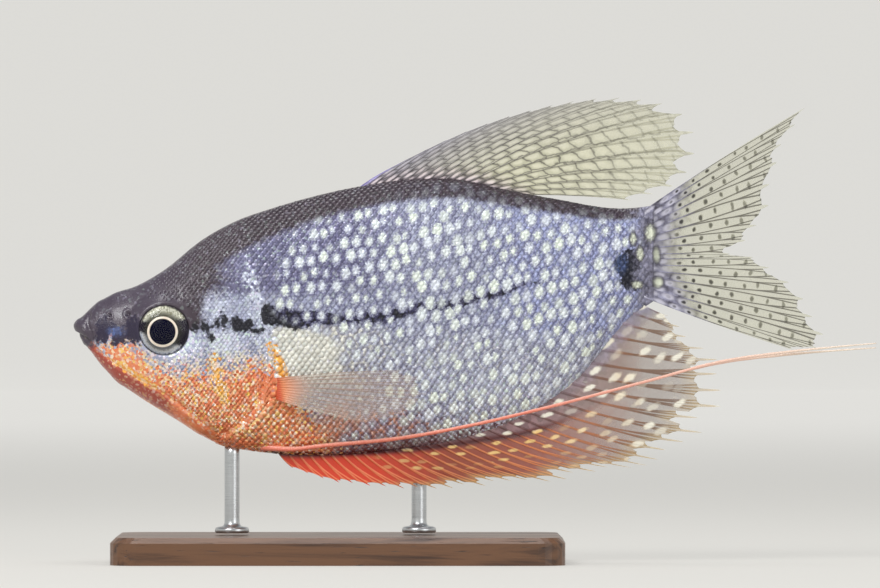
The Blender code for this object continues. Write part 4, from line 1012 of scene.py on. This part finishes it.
def fin_piece(name, root_at, tips, bow, web, sway, rays, rows, material, slot, replaced, ray_half=0.20,
              web_half=0.07, root_half=0.45, fork_from=0.45, fork_wide=0.2, hollow=0.05, seed=1, marks_at=None):
    """A fin as a closed thin sheet. Tips is the line of the rays' tips. Bow and web are pairs of a share across
    and a value: how far a ray bends, and how far out the membrane reaches. The functions give root and sway."""
    draw = np.random.default_rng(seed)
    columns = (rays - 1) * COLUMNS_A_RAY + 1
    number = np.arange(columns) / COLUMNS_A_RAY
    across, nearest = number / (rays - 1), np.round(number)
    beside = number - nearest
    bow, web = (np.interp(across, *zip(*pairs)) for pairs in (bow, web))
    shorter = 1.4 * (1 - web) * (draw.random(rays)[nearest.astype(int)] - 0.3)
    root = root_at(across)
    run = (evenly(tips, across) - root) * np.clip(1 - shorter, SHORTEST_RAY, 1.0)[:, None]
    bend = root + run / 2 + bow[:, None] * np.column_stack([-run[:, 1], run[:, 0]])

    def place(column, out):
        """X and Z in mm of places on the rays' curves."""
        out = out[..., None]
        return placed((1 - out) ** 2 * root[column] + 2 * out * (1 - out) * bend[column]
                      + out**2 * (root + run)[column])

    column = np.repeat(np.arange(columns), rows)
    web *= 1 - hollow * np.sin(math.pi * np.abs(beside)) ** 0.8
    web *= 1 + WEB_UNEVEN * np.interp(number, np.arange(2 * rays) / 2, draw.normal(0, 1, 2 * rays))
    web = np.minimum(web, LONGEST_WEB)
    out = (np.linspace(0, 1, rows) * web[:, None]).ravel()

    # Half the sheet's thickness: the web, the ray with its branches, and the flare at the root
    before, after = (np.clip(column + way * COLUMNS_A_RAY, 0, columns - 1) for way in (-1, 1))
    gap = np.linalg.norm(place(after, out) - place(before, out), axis=-1) / 2
    away = np.abs(np.abs(beside[column]) - fork_wide * ease(out, fork_from, 1)) * gap
    half = web_half * (1 - 0.3 * out) + (root_half - web_half) * (1 - out) ** 14
    half += (ray_half - web_half) * bump(away, 0.06 + 0.14 * (1 - out)) * (1 - 0.75 * out)
    parts, faces, count = [(place(column, out), half, out, number[column])], [lattice(columns, rows)], len(out)

    # Beyond the web, each ray goes on alone as three narrowing columns that meet in its tip
    for ray in range(rays):
        middle = ray * COLUMNS_A_RAY
        strip = np.arange(max(middle - 1, 0), min(middle + 2, columns))
        previous = strip * rows + rows - 1
        for share in np.arange(1, FREE_ROWS + 1) / FREE_ROWS:
            out = web[strip] + (1.0 - web[strip]) * share
            points = place(strip, out)
            centre = points[strip == middle]
            points = centre + (points - centre) * (1 - share) ** 0.7
            if share == 1:
                points, out = centre, out[:1]
            new = count + np.arange(len(points))
            count += len(points)
            parts.append((points, 0 * out + 0.02 + web_half * 0.7 * (1 - share), out, 0 * out + ray))
            after, before = previous[1:], previous[:-1]
            faces.append(np.column_stack([before, new[:-1], new[1:], after] if share < 1 else
                                         [before, 0 * before + new, after, 0 * before - 1]))
            previous = new
    flat, half, out, number = map(np.concatenate, zip(*parts))
    faces = np.vstack(faces)

    # The far face mirrors the near one, and a rim joins their edges
    other = np.where(faces >= 0, faces + count, -1)
    other = np.where(other[:, 3:] >= 0, other[:, ::-1], other[:, [2, 1, 0, 3]])
    outlines = [[corner for corner in face if corner >= 0] for face in faces.tolist()]
    edges = {edge: None for outline in outlines for edge in zip(outline, outline[1:] + outline[:1])}
    rim = [(b, a, a + count, b + count) for a, b in edges if (b, a) not in edges]
    across = number / (rays - 1)
    y, (x, z) = sway(across, out), flat.T
    near, far = (np.column_stack([x, y + way * half, z]) for way in (-1, 1))
    along, up = percent_of(x, z)
    marks = marks_at(along, up) if marks_at else (0 * up, 0 * up)
    step = np.linalg.norm(flat - placed(root_at(across)), axis=1)
    fields = {"rays": np.column_stack([number, out, step]), "placed": np.column_stack([along, *marks])}
    unwrap = SHEET_MAP_EDGE + np.column_stack([across, out]) * SHEET_MAP_SIZE
    new_piece(name, np.vstack([near, far]), np.vstack([faces, other, rim]), material, slot, replaced,
              {key: np.vstack([value, value]) for key, value in fields.items()},
              np.vstack([unwrap, unwrap + FAR_SIDE_MAP]))


# %% Rays and spots drawn in a fin's material
RAY_LINE = 0.12


def ray_marks(add, number, out, forks, wide, gap, half=RAY_LINE):
    """Mask of the rays, which fork twice: where along the ray, how wide in gaps, and the gap in mm."""
    away = add("Math FRACT", add("Math ADD", number, 0.5))
    away = add("Math ABSOLUTE", add("Math SUBTRACT", away, 0.5))
    for start, spread in zip(forks, (wide, wide / 2)):
        branch = add("MapRange SMOOTHSTEP", out, start, 1, 0, spread)
        away = add("Math ABSOLUTE", add("Math SUBTRACT", away, branch))
    away = add("Math MULTIPLY", away, add("MapRange", out, 0, 1, *gap))
    return add("MapRange SMOOTHSTEP", away, half, half * 0.4)


def cells_between(add, number, run, size, ragged, warp=0.3):
    """Places in the staggered rows of cells between the rays, each size (rays, mm) large, a little warped."""
    rows = add("Math DIVIDE", add("Math ADD", number, 0.5), size[0])
    steps = add("Math MULTIPLY_ADD", add("Math ROUND", rows), 0.5, add("Math DIVIDE", run, size[1]))
    return add("VectorMath MULTIPLY_ADD", ragged, (warp, warp, 0), add("CombineXYZ", rows, steps))


def nearest_spot(add, cell, shape, uneven=0.3):
    """How far a place lies from the spot in its cell, 1 at its edge, and that spot's random colour.
    Shape is one over the spot's half width and half length, in cells."""
    found = add("TexVoronoi", cell, Scale=1, Randomness=uneven, voronoi_dimensions="2D").node.outputs
    away = add("VectorMath MULTIPLY", add("VectorMath SUBTRACT", cell, found["Position"]), shape)
    return add("VectorMath LENGTH", away), found["Color"]


def new_film(name):
    """A fin's material, with a place's number counted in rays, its share of the ray and its way out in mm."""
    material, add = new_material(name)
    return material, add, *stored(add, "rays")


def finish_fin(add, colour, alpha, line):
    """The shader of a fin: a thin, moist membrane that lets light through where alpha is low."""
    bumps = add("Bump", Height=line, Strength=0.35, Distance=0.00008)
    surface = add("BsdfPrincipled", Base_Color=colour, Alpha=alpha, Roughness=0.35, Normal=bumps,
                  Coat_Weight=0.2, Coat_Roughness=0.2)
    add("OutputMaterial", surface)


# %% [markdown]
# The dorsal fin is olive grey and half clear. Pale ovals with fine dark outlines lie in staggered rows between
# its rays, pink and dense at its base. They fade out towards the clear, yellower rear, and a painted violet
# highlight runs along the front edge.

# %% Cast olive-grey film, the dorsal fin
DORSAL_RAYS, DORSAL_SUNK = 21, 0.7
DORSAL_BASE = (48.6, 76.5)
DORSAL_TIPS = [(54.3, 27.2), (59.7, 30), (69.6, 34.5), (80.9, 38), (89.4, 39.6), (98.3, 39.6), (104.6, 38.2),
               (107.6, 35.2), (109.4, 31.6), (108.4, 28.2), (105.4, 25), (97, 21.9)]
DORSAL_BOW = [(0, 0.05), (0.6, 0.09), (0.9, 0.09), (1, 0.035)]
DORSAL_WEB = [(0, 0.99), (0.6, 0.985), (0.8, 0.965), (1, 0.95)]
OVAL_SIZE, OVAL_SHAPE = (1.0, 2.4), (2.3, 2.2, 0.0)


def dorsal_film():
    material, add, number, out, run = new_film("cast_film_dorsal")
    line = ray_marks(add, number, out, (0.25, 0.7), 0.24, (0.8, 1.9))
    soft, ragged = add("TexNoise", in_millimetres(add), Scale=0.9, Detail=3).node.outputs
    cell = cells_between(add, number, run, OVAL_SIZE, ragged, 0.55)
    away, _ = nearest_spot(add, cell, OVAL_SHAPE, 0.25)
    net = add("TexVoronoi", cell, Scale=1, Randomness=0.25, voronoi_dimensions="2D", feature="DISTANCE_TO_EDGE")
    base, rear = add("MapRange", run, 5, 1), add("MapRange", number, 3, 15)
    far = add("Math MULTIPLY", rear, out)
    fading = total(add, out, (soft, 0.4))
    net = add("Math MULTIPLY", add("MapRange SMOOTHSTEP", net, 0.11, 0.02),
              add("MapRange", fading, 1.25, 0.6, 0.15, 0.75))
    inner = add("Math MULTIPLY", add("MapRange SMOOTHSTEP", away, 1.1, 0.3),
                add("MapRange", fading, 1.15, 0.5, 0.25, 0.85))
    rays = add("Math MULTIPLY", add("MapRange", far, 0.2, 0.9, 0.7, 0.22), line)
    # A painted violet highlight along the front rays
    front = add("MapRange", total(add, number, (soft, -1.4)), 0.5, -0.4)
    oval = lay(add, add("Mix RGBA", rear, "#b7b0ba", "#e6e3c8"), (base, "#eedfe2"))
    colour = lay(add, add("Mix RGBA", rear, "#858190", "#c8c6a4"), (base, "#5d505a"), (inner, oval),
                 (rays, "#55504f"), (net, "#403a3c"), (front, "#8f86c4"))
    thick = total(add, add("MapRange", far, 0, 1, 0.6, 0.3), (line, 0.2), (net, 0.35), (inner, 0.12))
    finish_fin(add, colour, add("Math MULTIPLY_ADD", base, 0.45, thick, use_clamp=True), line)
    return material


def root_on(line, base, sunk):
    """The root of a fin between two places along a line of the body, sunk into it."""
    def root_at(across):
        along = base[0] + (base[1] - base[0]) * across
        return np.column_stack([along, height(line, along) - sunk])
    return root_at


fin_piece("dorsal_sheet", root_on(BACK, DORSAL_BASE, DORSAL_SUNK), DORSAL_TIPS, DORSAL_BOW, DORSAL_WEB,
          lambda across, out: 0.7 * out * np.sin(2.6 * across + 1.2 * out), DORSAL_RAYS, 44, dorsal_film(),
          "clear_fin", ["dorsal_fin"], seed=2)

# %% [markdown]
# The tail fin is clear like wet paper, its rays brown grey, and rows of small black dots cross it. Each dot
# lies in the membrane between two rays.

# %% Cast clear film with dots, the tail fin
TAIL_RAYS, DOT_STEP, LOBE_SHEATH = 17, 2.4, 4.5
TAIL_BASE = [(99.2, 20.2), (99.4, 12.6), (99.2, 5)]
TAIL_TIPS = [(128, 38.5), (123.5, 31.3), (121.7, 25.9), (120.7, 19.7), (116.3, 14.4), (114.4, 13),
             (119, 11.9), (125.3, 7), (129.2, 1.5), (131.6, -2.9), (125.6, -4.3)]


def tail_film():
    material, add, number, out, run = new_film("cast_film_tail")
    line, at = ray_marks(add, number, out, (0.2, 0.7), 0.26, (1.0, 2.4)), in_millimetres(add)
    ragged = add("TexNoise", at, out="Color", Scale=0.9, Detail=2)
    cell = cells_between(add, number, run, (1.0, DOT_STEP), ragged, 0.25)
    shape = add("CombineXYZ", add("MapRange", out, 0, 1, 4.4, 3.4), add("MapRange", out, 0, 1, 6, 9))
    away, _ = nearest_spot(add, cell, shape)
    dot = add("Math MULTIPLY", add("MapRange SMOOTHSTEP", away, 1.2, 0.5),
              add("MapRange", out, 0.35, 0.8, 0.95, 0.6))
    dot = add("Math MULTIPLY", dot, add("MapRange", run, 3, 5.5))
    hide, mottle = sheath(add, at)
    blotch, _ = nearest_spot(add, cell, (2.0, 2.2, 0.0))
    hide = lay(add, hide, (add("MapRange SMOOTHSTEP", blotch, 1.1, 0.4, 0, 0.85), "#c2c0cf"))
    lobe = add("Math ABSOLUTE", add("Math SUBTRACT", number, (TAIL_RAYS - 1) / 2))
    reach = add("Math ADD", total(add, run, (mottle, 6), (line, -1.8)),
                add("MapRange", lobe, 2, TAIL_RAYS / 2, 0, -LOBE_SHEATH))
    rooted = add("MapRange SMOOTHSTEP", reach, 9.5, 4.4)
    colour = lay(add, add("Mix RGBA", out, "#b7b596", "#c6c4a6"), (add("Math MULTIPLY", line, 0.85), "#4b4543"),
                 (rooted, hide), (dot, "#1f1b1f"))
    thick = total(add, add("MapRange", line, 0, 1, 0.3, 0.75), (dot, 0.6))
    thick = add("Math MULTIPLY_ADD", rooted, 0.7, thick, use_clamp=True)
    finish_fin(add, lay_tail_pearls(add, at, colour, mottle), thick, line)
    return material


fin_piece("tail_sheet", partial(evenly, TAIL_BASE), TAIL_TIPS, [(0, 0.02), (1, -0.02)],
          [(0, 0.98), (0.5, 0.95), (1, 0.98)], lambda across, out: 1.4 * out**2 * (0.4 + np.cos(3.0 * across)),
          TAIL_RAYS, 46, tail_film(), "clear_fin", ["tail_fin"], root_half=0.95, fork_from=0.3, fork_wide=0.24,
          hollow=0.03, seed=4)

# %% [markdown]
# The anal fin runs under most of the fish. Its front is a vivid orange red, and it turns mauve brown and then
# almost clear towards the rear, with rows of gold spots along the rays.

# %% Cast red film with gold spots, the anal fin
ANAL_RAYS, ANAL_SUNK, GOLD_SIZE = 36, 0.7, (1.75, 2.7)
ANAL_BASE = (35.0, 99.0)
ANAL_TIPS = [(38, -24.8), (46.4, -27.4), (56.3, -28.3), (65.2, -28.3), (73.9, -27.7), (84, -27), (93, -25.2),
             (102.8, -23.4), (108.3, -19.6), (112.3, -15), (113.4, -10.4), (112.3, -6.1), (108.7, -2.9),
             (103.6, 1.7)]


def anal_film():
    material, add, number, out, run = new_film("cast_film_anal")
    again, gap = add("MapRange", number, 20, 30, 0.75, 0.3), add("MapRange", number, 18, 30, 1.7, 3.8)
    line, at = ray_marks(add, number, out, (0.25, again), 0.25, (1.0, gap), 0.2), in_millimetres(add)
    soft, ragged = add("TexNoise", at, Scale=0.9, Detail=3).node.outputs
    along, above, wine = stored(add, "placed")
    along = total(add, along, (soft, 8))
    rear, back = add("MapRange SMOOTHSTEP", along, 52, 72), add("MapRange", along, 84, 104)
    body = add("Math MAXIMUM", above, back)
    cell = cells_between(add, number, run, GOLD_SIZE, ragged, 0.3)
    shape = add("CombineXYZ", 4, add("MapRange", back, 0, 1, 5.6, 3.4))
    away, random = nearest_spot(add, cell, shape, 0.45)
    own = add("SeparateColor", random)
    there = add("MapRange", own, 0.1, 0.4, 0.3)
    spotted = add("Math MULTIPLY", add("MapRange", along, 54, 64), add("MapRange", out, 0.62, 0.42))
    spotted = add("Math MAXIMUM", spotted, body)
    spot = add("Math MULTIPLY", add("MapRange SMOOTHSTEP", away, 1.25, 0.5), there)
    spot = add("Math MULTIPLY", spot, spotted)
    # In the red front the rays are painted lighter orange than the film, a painted highlight along each ray
    fire, brown, grey, root = (add("Mix RGBA", line, film, ray) for film, ray in (
        ("#f04526", "#fb8a5c"), ("#a04a34", "#d48052"), ("#a0938a", "#7a5a44"), ("#8b6d70", "#70504f")))
    own = add("SeparateColor", add("TexVoronoi", at, out="Color", Scale=1.7))
    shade = add("MapRange", own, 0, 1, 0.72, 1.3)
    root, hide = (add("VectorMath SCALE", tone, shade) for tone in (root, "#8d8ca6"))
    scaled = add("MapRange SMOOTHSTEP", total(add, run, (soft, 3)), 4.8, 2.2, 0, 0.75)
    scaled = add("Math MULTIPLY", scaled, back)
    margin = add("Math MULTIPLY", add("MapRange", out, 0.7, 1), rear)
    # wine lays the painted shadow of the pelvic thread along the fin's root
    colour = lay(add, fire, (rear, brown), (above, root), (back, grey), (wine, TONES["wine"]), (scaled, hide),
                 (margin, "#dfc384"), (spot, add("Mix RGBA", body, "#f0c983", "#eeeadb")))
    thick = total(add, add("MapRange", along, 64, 112, 0.95, 0.35), (line, 0.3), (above, 0.4), (scaled, 0.5))
    finish_fin(add, colour, add("Math MULTIPLY_ADD", spot, 0.4, thick, use_clamp=True), line)
    return material


def anal_marks(along, up):
    """The part of the fin above the dark line of its root, which looks like the body, and that line, the painted
    shadow of the pelvic thread.
    """
    return ease(up - height(BASE_LINE, along), -0.2, 0.6) * ease(along, 100, 92), painted_thread_shadow_line(along, up)


fin_piece("anal_sheet", root_on(BELLY, ANAL_BASE, -ANAL_SUNK), ANAL_TIPS, [(0, -0.10), (1, -0.05)],
          [(0, 0.93), (0.4, 0.9), (1, 0.86)], lambda across, out: 0.5 * out * np.sin(5.0 * across), ANAL_RAYS,
          30, anal_film(), "red_fin", ["anal_fin"], hollow=0.07, seed=6, marks_at=anal_marks)

# %% [markdown]
# The pectoral fins are the clearest: amber rays under a thin film, fanned from a short fleshy root.

# %% Cast amber film, the pectoral fins
PECTORAL_RAYS, PECTORAL_STAND, PECTORAL_SUNK = 12, 1.9, 0.9
PECTORAL_BASE = [(34.5, -9.1), (35.2, -12.7)]
PECTORAL_TIPS = [(57.4, -7.6), (61.4, -9.4), (62.4, -12), (59.1, -14.8), (51.7, -16.9)]


def pectoral_film():
    material, add, number, out, run = new_film("cast_film_pectoral")
    line = ray_marks(add, number, out, (0.2, 0.7), 0.25, (0.5, 1.2))
    near = add("MapRange SMOOTHSTEP", out, 0, 0.3)
    colour = lay(add, add("Mix RGBA", near, "#f08a4a", "#d0c0b2"),
                 (add("MapRange SMOOTHSTEP", run, 1.6, 0.6), "#d95c3a"),
                 (add("Math MULTIPLY", line, near), "#a88e80"))
    thick = add("Math MULTIPLY_ADD", line, 0.32, add("MapRange", near, 0, 1, 0.85, 0.2), use_clamp=True)
    thick = add("Math MULTIPLY", thick, add("MapRange", out, 0.55, 1, 1, 0.35))
    finish_fin(add, colour, thick, line)
    return material


amber = pectoral_film()
pectoral_root_level = float(flank(*np.mean(PECTORAL_BASE, axis=0))) - PECTORAL_SUNK
for sign, word in ((-1, "left"), (1, "right")):
    def stand_off(across, out, sign=sign):
        """The fin leaves the side in a short curve, then stands off it, hollow towards the body."""
        rise = 1 - np.exp(-16 * out)
        return sign * (pectoral_root_level + PECTORAL_STAND * (rise + out - 0.25 * out * np.cos(2.8 * across)))

    fin_piece(f"pectoral_sheet_{word}", partial(evenly, PECTORAL_BASE), PECTORAL_TIPS, [(0, 0.03), (1, -0.04)],
              [(0, 0.96), (1, 0.96)], stand_off, PECTORAL_RAYS, 40, amber, "clear_fin",
              [f"pectoral_fin_{word}"], root_half=0.6, ray_half=0.14, web_half=0.05, hollow=0.03,
              fork_from=0.35, seed=8)

# %% [markdown]
# ## The pelvic threads
# Each pelvic fin of a gourami is drawn out into one long feeler. It is a round, tapering tube through the same
# points as the solids, one piece from the breast to its tip. The front is coral, the tip cream.

# %% Drawn coral thread
THREAD = [(32.6, -21, 1.3), (36.5, -21.4, 2.6), (44.3, -20.7, 3.8), (56.5, -19.5, 4.6), (68.7, -17.3, 4.9),
          (81.2, -14.4, 4.6), (100, -9.5, 3.2), (113, -6.1, 2.2), (124.3, -4.5, 1.5), (133, -3.6, 1.1),
          (139.7, -3, 0.9)]
THREAD_RADII = [(0, 0.6), (0.02, 0.46), (0.06, 0.33), (0.4, 0.25), (0.85, 0.2), (1, 0.08)]
THREAD_RINGS, THREAD_SIDES = 260, 14
RIGHT_THREAD_DROP, DROP_FROM = 0.8, 100
RIPPLE, RIPPLE_TURN = 0.05, 160


def thread_skin():
    material, add = new_material("drawn_coral_thread")
    at = in_millimetres(add)
    x = add("SeparateXYZ", at)
    z = add("SeparateXYZ", add("NewGeometry", out="Normal")).node.outputs[2]
    coral = add("Mix RGBA", add("TexNoise", at, Scale=1.4, Detail=3), "#de6450", "#f29a82")
    # The colour pales where the surface faces up: a painted highlight along the thread's top
    colour = lay(add, coral, (add("MapRange", x, 8, 52), "#e6d6c4"),
                 (add("MapRange", z, 0.2, 1, 0, 0.55), "#fbd5c0"))
    beat = add("TexWave", at, out="Fac", Scale=0.55, Distortion=2, Detail=1)
    bumps = add("Bump", Height=beat, Strength=0.4, Distance=0.00008)
    surface = add("BsdfPrincipled", Base_Color=colour, Roughness=0.38, Normal=bumps, Coat_Weight=0.25,
                  Coat_Roughness=0.2)
    add("OutputMaterial", surface)
    return material


coral_thread, shares = thread_skin(), np.linspace(0, 1, THREAD_RINGS)
turn = round_turns(THREAD_SIDES)[:, None]
for sign, word in ((-1, "left"), (1, "right")):
    along, up, out = np.array(THREAD).T
    drop = RIGHT_THREAD_DROP if sign > 0 else 0.0
    up = up - drop * np.maximum(0, (along - DROP_FROM) / (along[-1] - DROP_FROM))
    x, z = placed(np.column_stack([along, up])).T
    path = evenly(np.column_stack([x, sign * out, z]), shares)
    radii = np.interp(shares, *zip(*THREAD_RADII)) * (1 + RIPPLE * np.sin(shares * RIPPLE_TURN))
    ahead = np.gradient(path, axis=0)
    ahead /= np.linalg.norm(ahead, axis=1)[:, None]
    across = np.cross(ahead, (0.0, 0.0, 1.0))
    across /= np.linalg.norm(across, axis=1)[:, None]
    upward = np.cross(across, ahead)
    spokes = np.cos(turn) * across[:, None] + np.sin(turn) * upward[:, None]
    rings_of = path[:, None] + radii[:, None, None] * spokes
    new_piece(f"thread_{word}", *capped(rings_of, path[[0, -1]]), coral_thread, "thread",
              [f"pelvic_thread_{word}_{k}" for k in (1, 2, 3)])

# %% [markdown]
# ## The stand
# The base is the solid itself, as oiled walnut: long brown grain with darker pores that run the length of the
# board. The two rods are turned again with more sides than the solids have, in brushed steel with fine rings
# left by the lathe, and each ends in a small foot.

# %% Oiled walnut
GRAIN_WIDTH, PORE_LENGTH = 2.6, 5.0


def walnut():
    material, add = new_material("oiled_walnut")
    at = in_millimetres(add)
    drawn, pores_at = (add("VectorMath MULTIPLY", at, way) for way in ((0.06, 1, 1), (1 / PORE_LENGTH, 4, 4)))
    wander = add("TexNoise", drawn, Scale=1 / GRAIN_WIDTH, Detail=6, Roughness=0.62, Distortion=0.6)
    light = add("MapRange", add("Math SINE", add("Math MULTIPLY", wander, 16)), -1, 1)
    pore = add("MapRange", add("TexNoise", pores_at, Scale=1, Detail=2), 0.66, 0.74)
    colour = lay(add, add("Mix RGBA", light, "#3d281d", "#6b4a33"), (pore, "#20140e"))
    bumps = add("Bump", Height=pore, Strength=0.4, Distance=0.00008, invert=True)
    surface = add("BsdfPrincipled", Base_Color=colour, Roughness=add("MapRange", light, 0, 1, 0.42, 0.32),
                  Normal=bumps)
    add("OutputMaterial", surface)
    return material


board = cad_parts["stand_base"].data.materials
board.clear()
board.append(walnut())

# %% Brushed steel
ROD_SIDES, TOOL_MARK = 48, 0.12


def brushed_steel():
    material, add = new_material("brushed_steel")
    marks_at = add("VectorMath MULTIPLY", in_millimetres(add), (0.3, 0.3, 1 / TOOL_MARK))
    marks = add("TexNoise", marks_at, Scale=1, Detail=3)
    surface = add("BsdfPrincipled", Base_Color=add("Mix RGBA", marks, "#a7abae", "#d6d8da"), Metallic=1,
                  Roughness=add("MapRange", marks, 0, 1, 0.20, 0.42),
                  Normal=add("Bump", Height=marks, Strength=0.25, Distance=0.00003))
    add("OutputMaterial", surface)
    return material


steel = brushed_steel()
for word in ("front", "rear"):
    low, high = (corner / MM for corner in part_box(f"stand_rod_{word}"))
    middle, foot = (low + high) / 2, (high.x - low.x) / 2
    rod = 0.44 * foot
    profile = [(foot - 0.15, 0), (foot, 0.15), (foot, 0.55), (foot - 0.12, 0.78), (foot - 0.42, 0.9),
               (rod + 0.5, 0.95), (rod + 0.18, 1.1), (rod + 0.02, 1.5), (rod, 2.2), (rod, high.z - low.z - 1.0),
               (rod, high.z - low.z + 0.2)]
    rings_of = turned(profile, [middle[:2]] * len(profile), ROD_SIDES) + (0, 0, low.z)
    new_piece(f"steel_rod_{word}", *capped(rings_of, rings_of[[0, -1]].mean(axis=1)), steel, "rod_steel",
              [f"stand_rod_{word}"])

# %% [markdown]
# ## The size and the end
# The box round the dressed fish is measured.

# %% Measure the size
low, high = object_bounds()
